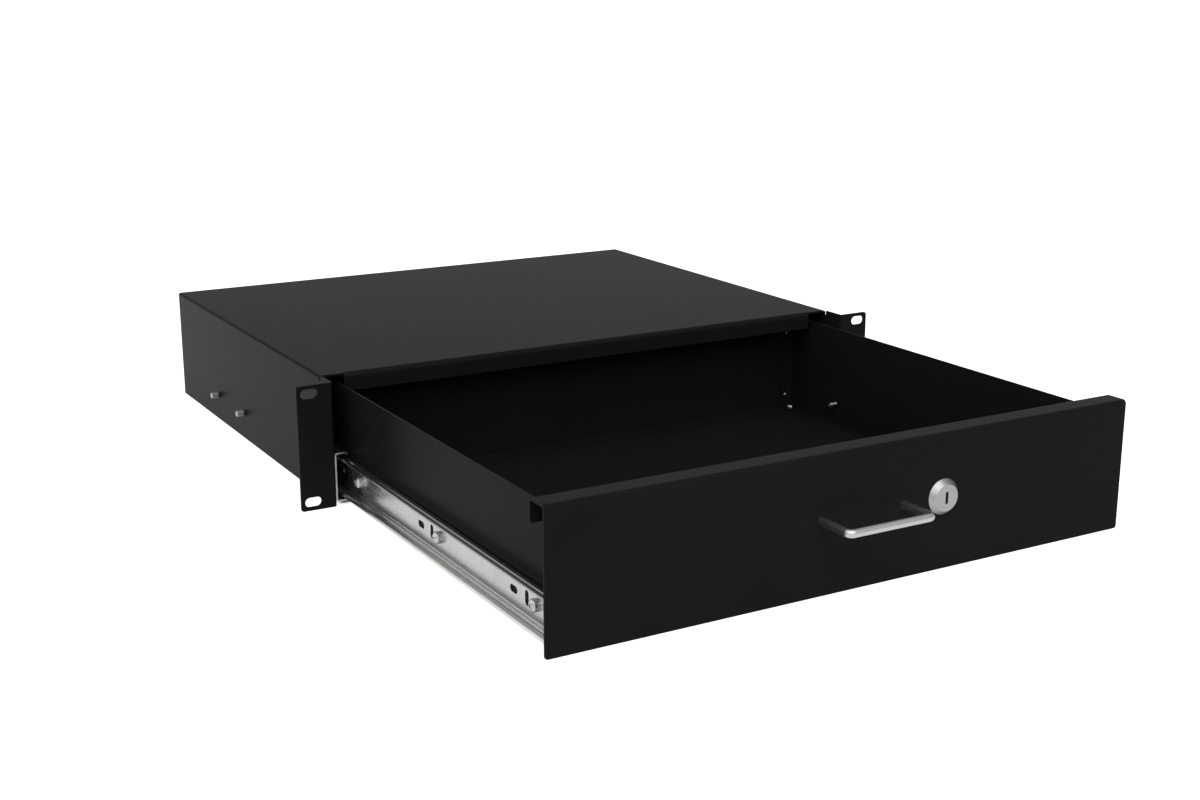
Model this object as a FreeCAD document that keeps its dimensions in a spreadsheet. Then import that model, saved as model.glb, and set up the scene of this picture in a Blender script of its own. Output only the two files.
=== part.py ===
"""Two-unit sliding rack drawer: a folded steel case with rack ears, a lockable drawer and two ball slides.

Frame: X to the right seen from the front, Y towards the back of the rack, Z up. The origin is the centre of
the four ear slots, on the ears' rear face, which bears on the rack. The drawer is built pulled out by its
whole travel, so every place on the drawer counts from the same places on the shut drawer, less the travel.
"""
import FreeCAD, Part
import math
import os
import Sketcher

SIZES = {
    # Rack interface of a two-unit panel
    "rack_width": 482.6,
    "unit_height": 88.1,
    "slot_inset_x": 8.75,
    "slot_inset_z": 5.95,
    "slot_length": 12.0,
    "slot_height": 6.8,
    "ear_corner_radius": 2.0,
    # Folded case
    "ear_width": 24.5,
    "case_sheet": 1.5,
    "fold_radius": 1.0,
    "cover_side_radius": 0.6,
    "cover_panel_gap": 3.3,
    "cover_lip_height": 13.0,
    "cover_fold_radius": 2.0,
    "cover_edge_step": 1.2,
    "lip_end_gap": 2.4,
    "relief_width": 2.4,
    "relief_depth": 3.5,
    "rear_flange": 12.0,
    "rear_flange_gap": 2.5,
    "rear_rail_gap": 1.1,
    # Running clearances
    "panel_side_gap": 0.9,
    "panel_end_gap": 0.2,
    "running_gap": 0.05,
    "screw_gap": 0.05,
    "rivet_gap": 0.05,
    # Front panel
    "panel_sheet": 1.3,
    "panel_lip_depth": 17.0,
    "panel_return_height": 14.3,
    "panel_fold_radius": 1.5,
    "return_fold_radius": 0.6,
    "panel_corner_radius": 2.0,
    "return_corner_radius": 1.2,
    "stud_inset": 65.0,
    "stud_rise": 14.0,
    "stud_radius": 2.0,
    "stud_length": 7.0,
    "stud_gap": 0.3,
    "nut_across_flats": 7.0,
    "nut_height": 3.2,
    "nut_flange_radius": 4.8,
    "nut_flange_height": 0.8,
    # Drawer tray
    "tray_sheet": 1.2,
    "tray_back_step": 0.3,
    "tray_floor_height": 1.2,
    "tray_cover_gap": 5.6,
    "tray_lip_gap": 0.5,
    "tray_flange": 10.6,
    "tray_notch_gap": 0.6,
    "tray_relief": 2.4,
    "tray_corner_radius": 3.0,
    "rivet_inset": 5.9,
    "rivet_rise": 13.3,
    "rivet_drop": 14.5,
    "rivet_radius": 1.2,
    "rivet_head_radius": 1.7,
    "rivet_head_height": 0.7,
    # Ball slides
    "slide_height": 20.0,
    "slide_thickness": 12.7,
    "rail_height": 35.0,
    "rail_sheet": 1.2,
    "rail_fold_radius": 0.8,
    "slide_length": 350.0,
    "slide_overlap": 50.0,
    "rail_front": 0.5,
    "drawer_rail_step": 4.0,
    "ball_radius": 2.38,
    "ball_inset": 7.1,
    "race_half_angle": 43.0,
    "race_wrap_angle": 75.0,
    "curl_angle": 35.0,
    "stop_height": 7.8,
    "stop_half_width": 12.0,
    "stop_set_in": 0.8,
    "cage_sheet": 0.6,
    "cage_stand_off": 1.35,
    "cage_depth": 7.6,
    "cage_end_gap": 1.0,
    "cage_set_back": 19.0,
    "ball_end_land": 4.0,
    "ball_hole_gap": 0.07,
    # Slide screws and the slots of the drawer rails
    "screw_radius": 2.0,
    "screw_length": 8.0,
    "pan_head_radius": 4.0,
    "pan_head_height": 4.5,
    "case_screw_radius": 2.5,
    "flat_head_radius": 4.6,
    "flat_head_height": 0.9,
    "rail_hole_gap": 0.2,
    "drawer_screw_front": 27.3,
    "drawer_screw_back": 63.7,
    "case_screw_front": 33.5,
    "case_screw_back": 92.5,
    "case_screw_pitch": 64.0,
    "tall_slot_offset": 11.5,
    "tall_slot_width": 4.4,
    "tall_slot_height": 9.4,
    "long_slot_offset": 27.6,
    "long_slot_length": 9.0,
    "long_slot_height": 4.5,
    # Handle
    "handle_height": 3.5,
    "handle_spacing": 61.5,
    "handle_reach": 26.5,
    "handle_radius": 2.65,
    "handle_bend_radius": 3.0,
    "handle_screw_radius": 1.5,
    "handle_screw_head_radius": 2.75,
    "handle_screw_head_height": 1.8,
    "handle_hole_depth": 8.0,
    # Lock
    "lock_place_x": 61.5,
    "lock_head_height": 4.2,
    "lock_rim_height": 1.0,
    "lock_rim_radius": 11.5,
    "lock_shoulder_radius": 11.2,
    "lock_face_radius": 8.5,
    "barrel_radius": 9.0,
    "barrel_flat": 8.0,
    "barrel_gap": 0.15,
    "core_radius": 6.2,
    "key_slot_width": 2.1,
    "key_slot_height": 7.9,
    "key_slot_depth": 9.0,
    "lock_nut_across_flats": 22.0,
    "lock_nut_height": 4.0,
    "cam_lip_gap": 0.8,
    "cam_barrel_gap": 0.3,
    "cam_thickness": 2.0,
    "cam_half_width": 7.0,
    "cam_reach": 36.0,
    "cam_square": 7.0,
    "cam_screw_radius": 2.5,
    "cam_screw_depth": 8.0,
    "cam_head_radius": 5.0,
    "cam_head_height": 2.2,
}

SIGN = {"XY_Plane": 1, "XZ_Plane": -1, "YZ_Plane": 1}
START, END, CENTRE = range(1, 4)
LEFT, RIGHT = -1, 1
BALLS_PER_ROW = 3
SIDES = {"left": LEFT, "right": RIGHT}


class Size:
    """A length with its value and the expression that gives it in the document."""

    def __init__(self, value, text=None):
        self.value = float(value)
        self.text = text or f"{self.value:.9f}"

    def __add__(self, other):
        other = as_size(other)
        return Size(self.value + other.value, f"({self.text} + {other.text})")

    def __sub__(self, other):
        other = as_size(other)
        return Size(self.value - other.value, f"({self.text} - {other.text})")

    def __mul__(self, other):
        other = as_size(other)
        return Size(self.value * other.value, f"({self.text} * {other.text})")

    def __truediv__(self, other):
        other = as_size(other)
        return Size(self.value / other.value, f"({self.text} / {other.text})")

    def __neg__(self):
        return self * -1

    __radd__ = __add__
    __rmul__ = __mul__

    def __rsub__(self, other):
        return as_size(other) - self


def as_size(number):
    """Turn a plain number into a Size."""
    return number if isinstance(number, Size) else Size(number)


def root(size):
    """Square root of a Size."""
    return Size(math.sqrt(size.value), f"sqrt({size.text})")


def cosine(degrees):
    """Cosine of an angle held as a Size in degrees."""
    return Size(math.cos(math.radians(degrees.value)), f"cos({degrees.text} * 1 deg)")


def sine(degrees):
    """Sine of an angle held as a Size in degrees."""
    return Size(math.sin(math.radians(degrees.value)), f"sin({degrees.text} * 1 deg)")


class Arc:
    """Part of a circle in an outline, from one point to another about a centre."""

    def __init__(self, begin, finish, centre, radius, clockwise):
        self.begin, self.finish, self.centre = begin, finish, centre
        self.radius, self.clockwise = radius, clockwise


class Circle:
    """A whole circle in a sketch."""

    def __init__(self, x, y, radius):
        self.centre, self.radius = (as_size(x), as_size(y)), as_size(radius)


document = FreeCAD.newDocument("rack_drawer")
sheet = document.addObject("Spreadsheet::Sheet", "Dimensions")
for row, (alias, length) in enumerate(SIZES.items(), 1):
    sheet.set(f"A{row}", alias)
    sheet.set(f"B{row}", str(length))
    sheet.setAlias(f"B{row}", alias)
document.recompute()


class Dimensions:
    """Every driving dimension as a Size that reads its own cell of the sheet."""

    def __getattr__(self, alias):
        return Size(sheet.get(alias), f"Dimensions.{alias}")


size = Dimensions()
nodes = []


# ---------------------------------------------------------------------------------------------------------
# Drawing


def rounded(corners):
    """Replace each corner (x, y, radius) of a square-cornered outline with the arc that rounds it."""
    path = []
    for place, corner in enumerate(corners):
        x, y = as_size(corner[0]), as_size(corner[1])
        if len(corner) == 2:
            path.append((x, y))
            continue
        radius = as_size(corner[2])
        before, after = corners[place - 1], corners[(place + 1) % len(corners)]
        arrive = direction(before, corner)
        leave = direction(corner, after)
        begin = (x - radius * arrive[0], y - radius * arrive[1])
        finish = (x + radius * leave[0], y + radius * leave[1])
        centre = (begin[0] + radius * leave[0], begin[1] + radius * leave[1])
        clockwise = arrive[0] * leave[1] - arrive[1] * leave[0] < 0
        path.append(Arc(begin, finish, centre, radius, clockwise))
    return path


def direction(first, second):
    """Unit step along X or Y from one corner to the next."""
    across = as_size(second[0]).value - as_size(first[0]).value
    along = as_size(second[1]).value - as_size(first[1]).value
    if abs(across) > abs(along):
        return (math.copysign(1, across), 0)
    return (0, math.copysign(1, along))


def rectangle(x0, y0, x1, y1):
    """Closed outline with square corners."""
    return [(as_size(x), as_size(y)) for x, y in ((x0, y0), (x1, y0), (x1, y1), (x0, y1))]


def slot(x, y, length, height):
    """Outline with two half-round ends, centred on a point and lying along the sketch's first axis."""
    reach, radius = (length - height) / 2, height / 2
    right, left = (x + reach, y), (x - reach, y)
    return [
        Arc((right[0], y - radius), (right[0], y + radius), right, radius, False),
        Arc((left[0], y + radius), (left[0], y - radius), left, radius, False),
    ]


def upright_slot(x, y, width, height):
    """The same outline standing along the sketch's second axis."""
    reach, radius = (height - width) / 2, width / 2
    upper, lower = (x, y + reach), (x, y - reach)
    return [
        Arc((x + radius, upper[1]), (x - radius, upper[1]), upper, radius, False),
        Arc((x - radius, lower[1]), (x + radius, lower[1]), lower, radius, False),
    ]


def hexagon(x, y, across_flats):
    """Six-sided outline of a nut with two corners to the left and right."""
    corner = across_flats / math.sqrt(3)
    turns = [math.radians(60 * step) for step in range(6)]
    return [(x + corner * math.cos(turn), y + corner * math.sin(turn)) for turn in turns]


def double_d(x, y, radius, half_flat):
    """Round outline with two upright flats, as a lock's barrel has."""
    rise = root(radius * radius - half_flat * half_flat)
    return [
        Arc((x + half_flat, y + rise), (x - half_flat, y + rise), (x, y), radius, False),
        Arc((x - half_flat, y - rise), (x + half_flat, y - rise), (x, y), radius, False),
    ]


def ends(item):
    """First and last point of an outline's item."""
    return (item.begin, item.finish) if isinstance(item, Arc) else (item, item)


def point(place):
    """A vector at a pair of Sizes."""
    return FreeCAD.Vector(place[0].value, place[1].value, 0)


def pin_coordinate(drawing, geometry, vertex, axis, distance):
    """Hold one point of a sketch at a distance from its origin along the first or second axis."""
    kind = ("DistanceX", "DistanceY")[axis]
    number = drawing.addConstraint(Sketcher.Constraint(kind, -1, 1, geometry, vertex, distance.value))
    drawing.setExpression(f"Constraints[{number}]", distance.text)


def pin(drawing, geometry, vertex, place):
    """Hold one point of a sketch at a pair of Sizes from its origin."""
    for axis, distance in enumerate(place):
        pin_coordinate(drawing, geometry, vertex, axis, distance)


def hold_radius(drawing, geometry, radius):
    """Hold the radius of a circle or an arc."""
    number = drawing.addConstraint(Sketcher.Constraint("Radius", geometry, radius.value))
    drawing.setExpression(f"Constraints[{number}]", radius.text)


def join(drawing, geometry, vertex, other, other_vertex):
    """Make an end of one edge coincide with an end of another."""
    drawing.addConstraint(Sketcher.Constraint("Coincident", geometry, vertex, other, other_vertex))


def draw_arc(drawing, arc):
    """Draw one arc held by its centre, its radius and one coordinate of each end."""
    first, last = (arc.finish, arc.begin) if arc.clockwise else (arc.begin, arc.finish)
    centre = point(arc.centre)
    angles = [math.atan2(end.y - centre.y, end.x - centre.x) for end in (point(first), point(last))]
    circle = Part.Circle(centre, FreeCAD.Vector(0, 0, 1), arc.radius.value)
    geometry = drawing.addGeometry(Part.ArcOfCircle(circle, *angles))
    pin(drawing, geometry, CENTRE, arc.centre)
    hold_radius(drawing, geometry, arc.radius)
    for vertex, place, angle in zip((START, END), (first, last), angles):
        axis = 0 if abs(math.sin(angle)) > abs(math.cos(angle)) else 1
        pin_coordinate(drawing, geometry, vertex, axis, place[axis])
    return (geometry, END, START) if arc.clockwise else (geometry, START, END)


def draw_outline(drawing, path, closed=True):
    """Draw an outline's items with straight edges between them, each edge held and joined to the next."""
    edges = []
    for place, item in enumerate(path):
        if isinstance(item, Arc):
            edges.append((*draw_arc(drawing, item), item))
        finish = ends(item)[1]
        if not closed and place == len(path) - 1:
            break
        target = ends(path[(place + 1) % len(path)])[0]
        if (point(target) - point(finish)).Length > 1e-7:
            geometry = drawing.addGeometry(Part.LineSegment(point(finish), point(target)))
            edges.append((geometry, START, END, (finish, target)))
    for place, (geometry, first, last, item) in enumerate(edges):
        if isinstance(item, Arc):
            continue
        before = edges[place - 1] if closed or place else None
        after = edges[(place + 1) % len(edges)] if closed or place < len(edges) - 1 else None
        if before and isinstance(before[3], Arc):
            join(drawing, geometry, first, before[0], before[2])
        else:
            pin(drawing, geometry, first, item[0])
        if after:
            join(drawing, geometry, last, after[0], after[1])
        else:
            pin(drawing, geometry, last, item[1])


def sketch(body, name, role, outlines, height, origin=None, closed=True):
    """Draw outlines on one of the body's own planes, moved along its normal and optionally within it."""
    plane = next(feature for feature in body.Origin.OriginFeatures if feature.Role == role)
    drawing = body.newObject("Sketcher::SketchObject", name)
    drawing.AttachmentSupport = [(plane, "")]
    drawing.MapMode = "FlatFace"
    drawing.setExpression("AttachmentOffset.Base.z", (as_size(height) * SIGN[role]).text)
    if origin:
        drawing.setExpression("AttachmentOffset.Base.x", as_size(origin[0]).text)
        drawing.setExpression("AttachmentOffset.Base.y", as_size(origin[1]).text)
    for outline in outlines:
        if isinstance(outline, Circle):
            circle = Part.Circle(point(outline.centre), FreeCAD.Vector(0, 0, 1), outline.radius.value)
            geometry = drawing.addGeometry(circle)
            pin(drawing, geometry, CENTRE, outline.centre)
            hold_radius(drawing, geometry, outline.radius)
        else:
            draw_outline(drawing, outline, closed)
    return drawing


# ---------------------------------------------------------------------------------------------------------
# Features


def new_body(name):
    """A body whose label names its node."""
    body = document.addObject("PartDesign::Body", name)
    body.Label = name
    nodes.append(body)
    return body


def pad(body, name, role, outlines, start, finish):
    """Add the outlines' material between two places along the plane's axis."""
    drawing = sketch(body, f"{name}_sketch", role, outlines, start)
    feature = body.newObject("PartDesign::Pad", name)
    feature.Profile = drawing
    feature.Reversed = SIGN[role] < 0
    feature.setExpression("Length", (as_size(finish) - start).text)
    return feature


def cut(body, name, role, outlines, start, finish):
    """Take the outlines' material away between two places along the plane's axis."""
    drawing = sketch(body, f"{name}_sketch", role, outlines, start)
    feature = body.newObject("PartDesign::Pocket", name)
    feature.Profile = drawing
    feature.Reversed = SIGN[role] > 0
    feature.setExpression("Length", (as_size(finish) - start).text)
    return feature


def revolve(body, name, outline, x, z):
    """Turn an outline of (place along Y, radius) about the line along Y through (x, z)."""
    drawing = sketch(body, f"{name}_sketch", "YZ_Plane", [outline], x, origin=(0, z))
    feature = body.newObject("PartDesign::Revolution", name)
    feature.Profile = drawing
    feature.ReferenceAxis = (drawing, ["H_Axis"])
    return feature


def round_edges(body, name, wanted, radius):
    """Round the edges of the body's tip whose middles pass the test."""
    document.recompute()
    base = body.Tip
    names = [f"Edge{number}" for number, edge in enumerate(base.Shape.Edges, 1) if wanted(edge.CenterOfMass)]
    feature = body.newObject("PartDesign::Fillet", name)
    feature.Base = (base, names)
    feature.setExpression("Radius", radius.text)
    return feature


def near(value, target):
    """Whether two numbers agree to a hundredth of a millimetre."""
    return abs(value - target.value) < 0.01


# ---------------------------------------------------------------------------------------------------------
# Places shared by several pieces

half_unit = size.unit_height / 2
ear_end = size.rack_width / 2
ear_front = -size.case_sheet
case_half = ear_end - size.ear_width
case_inner = case_half - size.case_sheet
case_top_inner = half_unit - size.case_sheet
fold_outer = size.fold_radius + size.case_sheet
cover_fold_outer = size.cover_fold_radius + size.case_sheet
cover_side_outer = size.cover_side_radius + size.case_sheet
cover_front = ear_front + size.panel_lip_depth + size.cover_panel_gap
cover_edge = cover_front + size.cover_edge_step
cover_lip_bottom = half_unit - size.cover_lip_height

travel = size.slide_length - size.slide_overlap
drawer_rail_length = size.slide_length - size.drawer_rail_step
case_rail_back = size.rail_front + size.slide_length
drawer_rail_front = size.rail_front - travel
drawer_rail_back = drawer_rail_front + drawer_rail_length
case_back = case_rail_back + size.rear_rail_gap + size.case_sheet

panel_front = ear_front - travel
panel_back = panel_front + size.panel_sheet
panel_half = case_inner - size.panel_side_gap
panel_bottom = -half_unit + size.panel_end_gap
panel_top = half_unit - size.panel_end_gap
lip_back = panel_front + size.panel_lip_depth
return_bottom = panel_top - size.panel_return_height

tray_half = case_inner - size.slide_thickness
tray_inner = tray_half - size.tray_sheet
tray_bottom = -half_unit + size.tray_floor_height
tray_floor = tray_bottom + size.tray_sheet
tray_top = case_top_inner - size.tray_cover_gap
tray_front_top = return_bottom - size.tray_lip_gap
tray_back = drawer_rail_back - size.tray_back_step
tray_fold_outer = size.fold_radius + size.tray_sheet
tray_corner_outer = size.tray_corner_radius + size.tray_sheet
lip_end = tray_inner - size.lip_end_gap

slide_axis = -half_unit + size.slide_height
race_radius = size.ball_radius + size.running_gap
rail_half = size.rail_height / 2
ball_rise = rail_half - size.rail_sheet - race_radius
cage_start = size.rail_front + size.cage_set_back
cage_end = drawer_rail_back - size.cage_end_gap
ball_pitch = (cage_end - cage_start - size.ball_end_land * 2) / (BALLS_PER_ROW - 1)

lock_x = size.lock_place_x
lock_z = size.handle_height
cam_front = panel_front + cover_front - ear_front + size.case_sheet + size.cam_lip_gap
cam_back = cam_front + size.cam_thickness
barrel_end = cam_front - size.cam_barrel_gap


# ---------------------------------------------------------------------------------------------------------
# Case


def build_case_shell():
    """Cover, sides and ears folded from one sheet, with the lip that the lock's cam holds."""
    body = new_body("case_shell")
    cover = rounded([
        (-case_half, -half_unit),
        (-case_half, half_unit, cover_side_outer),
        (case_half, half_unit, cover_side_outer),
        (case_half, -half_unit),
        (case_inner, -half_unit),
        (case_inner, case_top_inner, size.cover_side_radius),
        (-case_inner, case_top_inner, size.cover_side_radius),
        (-case_inner, -half_unit),
    ])
    pad(body, "cover_and_sides", "XZ_Plane", [cover], cover_edge, case_back)
    fold_end = case_half + size.fold_radius
    for name, side in SIDES.items():
        fold = rounded([
            (side * case_inner, cover_edge),
            (side * case_inner, ear_front, fold_outer),
            (side * fold_end, ear_front),
            (side * fold_end, 0),
            (side * case_half, 0, size.fold_radius),
            (side * case_half, cover_edge),
        ])
        pad(body, f"{name}_fold", "XY_Plane", [fold], -half_unit, half_unit)
        ear = rounded([
            (side * fold_end, -half_unit),
            (side * fold_end, half_unit),
            (side * ear_end, half_unit, size.ear_corner_radius),
            (side * ear_end, -half_unit, size.ear_corner_radius),
        ])
        pad(body, f"{name}_ear", "XZ_Plane", [ear], ear_front, 0)
    root_line = cover_front + cover_fold_outer
    opening = rectangle(-lip_end, cover_edge, lip_end, root_line)
    cut(body, "lip_clearance", "XY_Plane", [opening], cover_lip_bottom, half_unit)
    lip = rounded([
        (root_line, half_unit),
        (cover_front, half_unit, cover_fold_outer),
        (cover_front, cover_lip_bottom),
        (cover_front + size.case_sheet, cover_lip_bottom),
        (cover_front + size.case_sheet, case_top_inner, size.cover_fold_radius),
        (root_line, case_top_inner),
    ])
    pad(body, "cover_lip", "YZ_Plane", [lip], -lip_end, lip_end)
    relief = [
        rectangle(side * (case_inner - size.fold_radius), cover_edge - size.relief_width,
                  side * (case_half + size.fold_radius), cover_edge)
        for side in SIDES.values()
    ]
    cut(body, "fold_relief", "XY_Plane", relief, half_unit - size.relief_depth, half_unit)
    slots = [
        slot(side * (ear_end - size.slot_inset_x), level * (half_unit - size.slot_inset_z),
             size.slot_length, size.slot_height)
        for side in SIDES.values() for level in (-1, 1)
    ]
    cut(body, "rack_slots", "XZ_Plane", slots, ear_front, 0)
    radius = size.case_screw_radius + size.screw_gap
    holes = [Circle(place, slide_axis, radius) for place in case_screw_places()]
    cut(body, "left_screw_holes", "YZ_Plane", holes, -case_half, -case_inner)
    cut(body, "right_screw_holes", "YZ_Plane", holes, case_inner, case_half)


def case_screw_places():
    """Places along Y of the screws that hold each case rail."""
    back = case_rail_back - size.case_screw_back
    return [size.rail_front + size.case_screw_front, back - size.case_screw_pitch, back]


def build_rear_panel():
    """Back of the case: a plate with flanges folded forward and spot-welded under the cover and inside."""
    body = new_body("rear_panel")
    inner = case_back - size.case_sheet
    flange_front = inner - size.rear_flange
    fold_line = case_inner - fold_outer
    lower_edge = slide_axis + rail_half + size.rear_flange_gap
    profile = rounded([
        (case_back, -half_unit),
        (case_back, case_top_inner, fold_outer),
        (flange_front, case_top_inner),
        (flange_front, case_top_inner - size.case_sheet),
        (inner, case_top_inner - size.case_sheet, size.fold_radius),
        (inner, -half_unit),
    ])
    pad(body, "plate_and_top_flange", "YZ_Plane", [profile], -fold_line, fold_line)
    for name, side in SIDES.items():
        fold = rounded([
            (side * fold_line, case_back),
            (side * case_inner, case_back, fold_outer),
            (side * case_inner, flange_front),
            (side * (case_inner - size.case_sheet), flange_front),
            (side * (case_inner - size.case_sheet), inner, size.fold_radius),
            (side * fold_line, inner),
        ])
        pad(body, f"{name}_flange", "XY_Plane", [fold], lower_edge, case_top_inner - fold_outer)
        foot = rectangle(side * fold_line, -half_unit, side * case_inner, lower_edge)
        pad(body, f"{name}_foot", "XZ_Plane", [foot], inner, case_back)


# ---------------------------------------------------------------------------------------------------------
# Ball slides


def from_side(side, depth, rise):
    """Point of a slide's section: depth in from the case's side, rise above the slide's middle."""
    return (side * (case_inner - depth), slide_axis + rise)


def flipped(item):
    """Mirror image of a section's item below the slide's middle, run the other way."""
    if isinstance(item, Arc):
        begin, finish, centre = (flipped(place) for place in (item.finish, item.begin, item.centre))
        return Arc(begin, finish, centre, item.radius, item.clockwise)
    return (item[0], -item[1])


def placed(item, side):
    """A section's item moved to one side of the case, where the right side is a mirror image."""
    if not isinstance(item, Arc):
        return from_side(side, *item)
    begin, finish, centre = (from_side(side, *place) for place in (item.begin, item.finish, item.centre))
    clockwise = item.clockwise if side == LEFT else not item.clockwise
    return Arc(begin, finish, centre, item.radius, clockwise)


def case_rail_section(side):
    """Case rail: a web, two flanges and a curl round each row of balls."""
    web, top = size.rail_sheet, rail_half
    outer, inner = size.rail_fold_radius + size.rail_sheet, size.rail_fold_radius
    balls = (size.ball_inset, ball_rise)
    outer_race = race_radius + size.rail_sheet
    reach, lift = cosine(size.curl_angle), sine(size.curl_angle)
    zero = Size(0)
    half = [
        (zero, zero),
        Arc((zero, top - outer), (outer, top), (outer, top - outer), outer, True),
        Arc((balls[0], top), (balls[0] + outer_race * reach, balls[1] + outer_race * lift),
            balls, outer_race, True),
        Arc((balls[0] + race_radius * reach, balls[1] + race_radius * lift), (balls[0], top - web),
            balls, race_radius, False),
        Arc((web + inner, top - web), (web, top - web - inner),
            (web + inner, top - web - inner), inner, False),
    ]
    return whole_section(side, half)


def drawer_rail_section(side):
    """Drawer rail: a web against the drawer and two flanges, each curled outside its row of balls."""
    web_outer = size.slide_thickness
    web_inner = web_outer - size.rail_sheet
    outer, inner = size.rail_fold_radius + size.rail_sheet, size.rail_fold_radius
    balls = (size.ball_inset, ball_rise)
    drop = race_radius * cosine(size.race_half_angle)
    top = ball_rise - drop
    spread = race_radius * sine(size.race_half_angle)
    under_race = race_radius + size.rail_sheet
    under_drop = drop + size.rail_sheet
    under_spread = root(under_race * under_race - under_drop * under_drop)
    aside, below = sine(size.race_wrap_angle), cosine(size.race_wrap_angle)
    half = [
        (web_outer, Size(0)),
        Arc((web_outer, top - outer), (web_outer - outer, top),
            (web_outer - outer, top - outer), outer, False),
        Arc((balls[0] + spread, top), (balls[0] - race_radius * aside, balls[1] - race_radius * below),
            balls, race_radius, True),
        Arc((balls[0] - under_race * aside, balls[1] - under_race * below),
            (balls[0] + under_spread, top - size.rail_sheet), balls, under_race, False),
        Arc((web_inner - inner, top - size.rail_sheet), (web_inner, top - size.rail_sheet - inner),
            (web_inner - inner, top - size.rail_sheet - inner), inner, True),
    ]
    return whole_section(side, half)


def cage_section(side):
    """Ball cage: a thin web with an arm that runs between the flanges of the two rails."""
    web = size.rail_sheet + size.cage_stand_off
    arm_end = web + size.cage_depth
    top = ball_rise + size.cage_sheet / 2
    outer = size.cage_sheet + size.cage_sheet / 2
    inner = size.cage_sheet / 2
    web_inner = web + size.cage_sheet
    half = [
        (web, Size(0)),
        Arc((web, top - outer), (web + outer, top), (web + outer, top - outer), outer, True),
        (arm_end, top),
        (arm_end, top - size.cage_sheet),
        Arc((web_inner + inner, top - size.cage_sheet), (web_inner, top - size.cage_sheet - inner),
            (web_inner + inner, top - size.cage_sheet - inner), inner, False),
    ]
    return whole_section(side, half)


def whole_section(side, half):
    """Close half a section, which starts on the web's middle, with its mirror image."""
    upper = half[1:]
    lower = [flipped(item) for item in reversed(upper)]
    return [placed(item, side) for item in upper + lower]


def build_case_rail(name, side):
    """Rail screwed to the case, with the stop that its sheet forms at the back."""
    body = new_body(f"{name}_case_rail")
    pad(body, "section", "XZ_Plane", [case_rail_section(side)], size.rail_front, case_rail_back)
    stop_end = case_rail_back - size.stop_set_in
    near_web, far_end = from_side(side, Size(0), -size.stop_half_width), from_side(
        side, size.stop_height, size.stop_half_width)
    stop = rectangle(near_web[0], near_web[1], far_end[0], far_end[1])
    pad(body, "back_stop", "XZ_Plane", [stop], stop_end - size.rail_sheet, stop_end)
    radius = size.case_screw_radius + size.rail_hole_gap
    holes = [Circle(place, slide_axis, radius) for place in case_screw_places()]
    faces = sorted((side * case_inner, side * (case_inner - size.rail_sheet)), key=lambda face: face.value)
    cut(body, "screw_holes", "YZ_Plane", holes, *faces)


def drawer_screw_places():
    """Places along Y of the screws that hold each drawer rail."""
    first = drawer_rail_front + size.drawer_screw_front
    last = drawer_rail_back - size.drawer_screw_back
    return [first, (first + last) / 2, last]


def build_drawer_rail(name, side):
    """Rail screwed to the drawer, with a hole and two slots at each fixing place."""
    body = new_body(f"{name}_drawer_rail")
    pad(body, "section", "XZ_Plane", [drawer_rail_section(side)], drawer_rail_front, drawer_rail_back)
    radius = size.screw_radius + size.rail_hole_gap
    openings = []
    for place in drawer_screw_places():
        openings.append(Circle(place, slide_axis, radius))
        openings.append(upright_slot(place + size.tall_slot_offset, slide_axis,
                                     size.tall_slot_width, size.tall_slot_height))
        openings.append(slot(place + size.long_slot_offset, slide_axis,
                             size.long_slot_length, size.long_slot_height))
    faces = sorted((side * tray_half, side * (tray_half + size.rail_sheet)), key=lambda face: face.value)
    cut(body, "fixing_openings", "YZ_Plane", openings, *faces)


def build_cage(name, side):
    """Cage that keeps the balls apart, half-way along the travel between the two rails."""
    body = new_body(f"{name}_ball_cage")
    pad(body, "section", "XZ_Plane", [cage_section(side)], cage_start, cage_end)
    middle = side * (case_inner - size.ball_inset)
    holes = [Circle(middle, place, size.ball_radius + size.ball_hole_gap) for place in ball_places()]
    cut(body, "ball_holes", "XY_Plane", holes, slide_axis - rail_half, slide_axis + rail_half)


def ball_places():
    """Places along Y of the balls in each row at rest."""
    return [cage_start + size.ball_end_land + ball_pitch * step for step in range(BALLS_PER_ROW)]


def build_balls(name, side):
    """Two rows of steel balls in one cage."""
    balls = []
    for place in ball_places():
        for level in (-1, 1):
            ball = document.addObject("Part::Sphere", f"{name}_ball")
            ball.setExpression("Radius", size.ball_radius.text)
            middle = (side * (case_inner - size.ball_inset), place, slide_axis + ball_rise * level)
            for axis, coordinate in zip("xyz", middle):
                ball.setExpression(f"Placement.Base.{axis}", coordinate.text)
            balls.append(ball)
    group = document.addObject("Part::Compound", f"{name}_balls")
    group.Links = balls
    group.Label = f"{name}_balls"
    nodes.append(group)


def build_side_screws(name, side, face, radius, head, places):
    """Screws along X in one side, with their heads, a radius and a height, standing on face."""
    body = new_body(name)
    head_radius, head_height = head
    head_ends = sorted((face, face - side * head_height), key=lambda end: end.value)
    shank = sorted((face, face + side * size.screw_length), key=lambda end: end.value)
    pad(body, "heads", "YZ_Plane",
        [Circle(place, slide_axis, head_radius) for place in places], *head_ends)
    pad(body, "shanks", "YZ_Plane",
        [Circle(place, slide_axis, radius) for place in places], *shank)


# ---------------------------------------------------------------------------------------------------------
# Drawer


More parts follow.
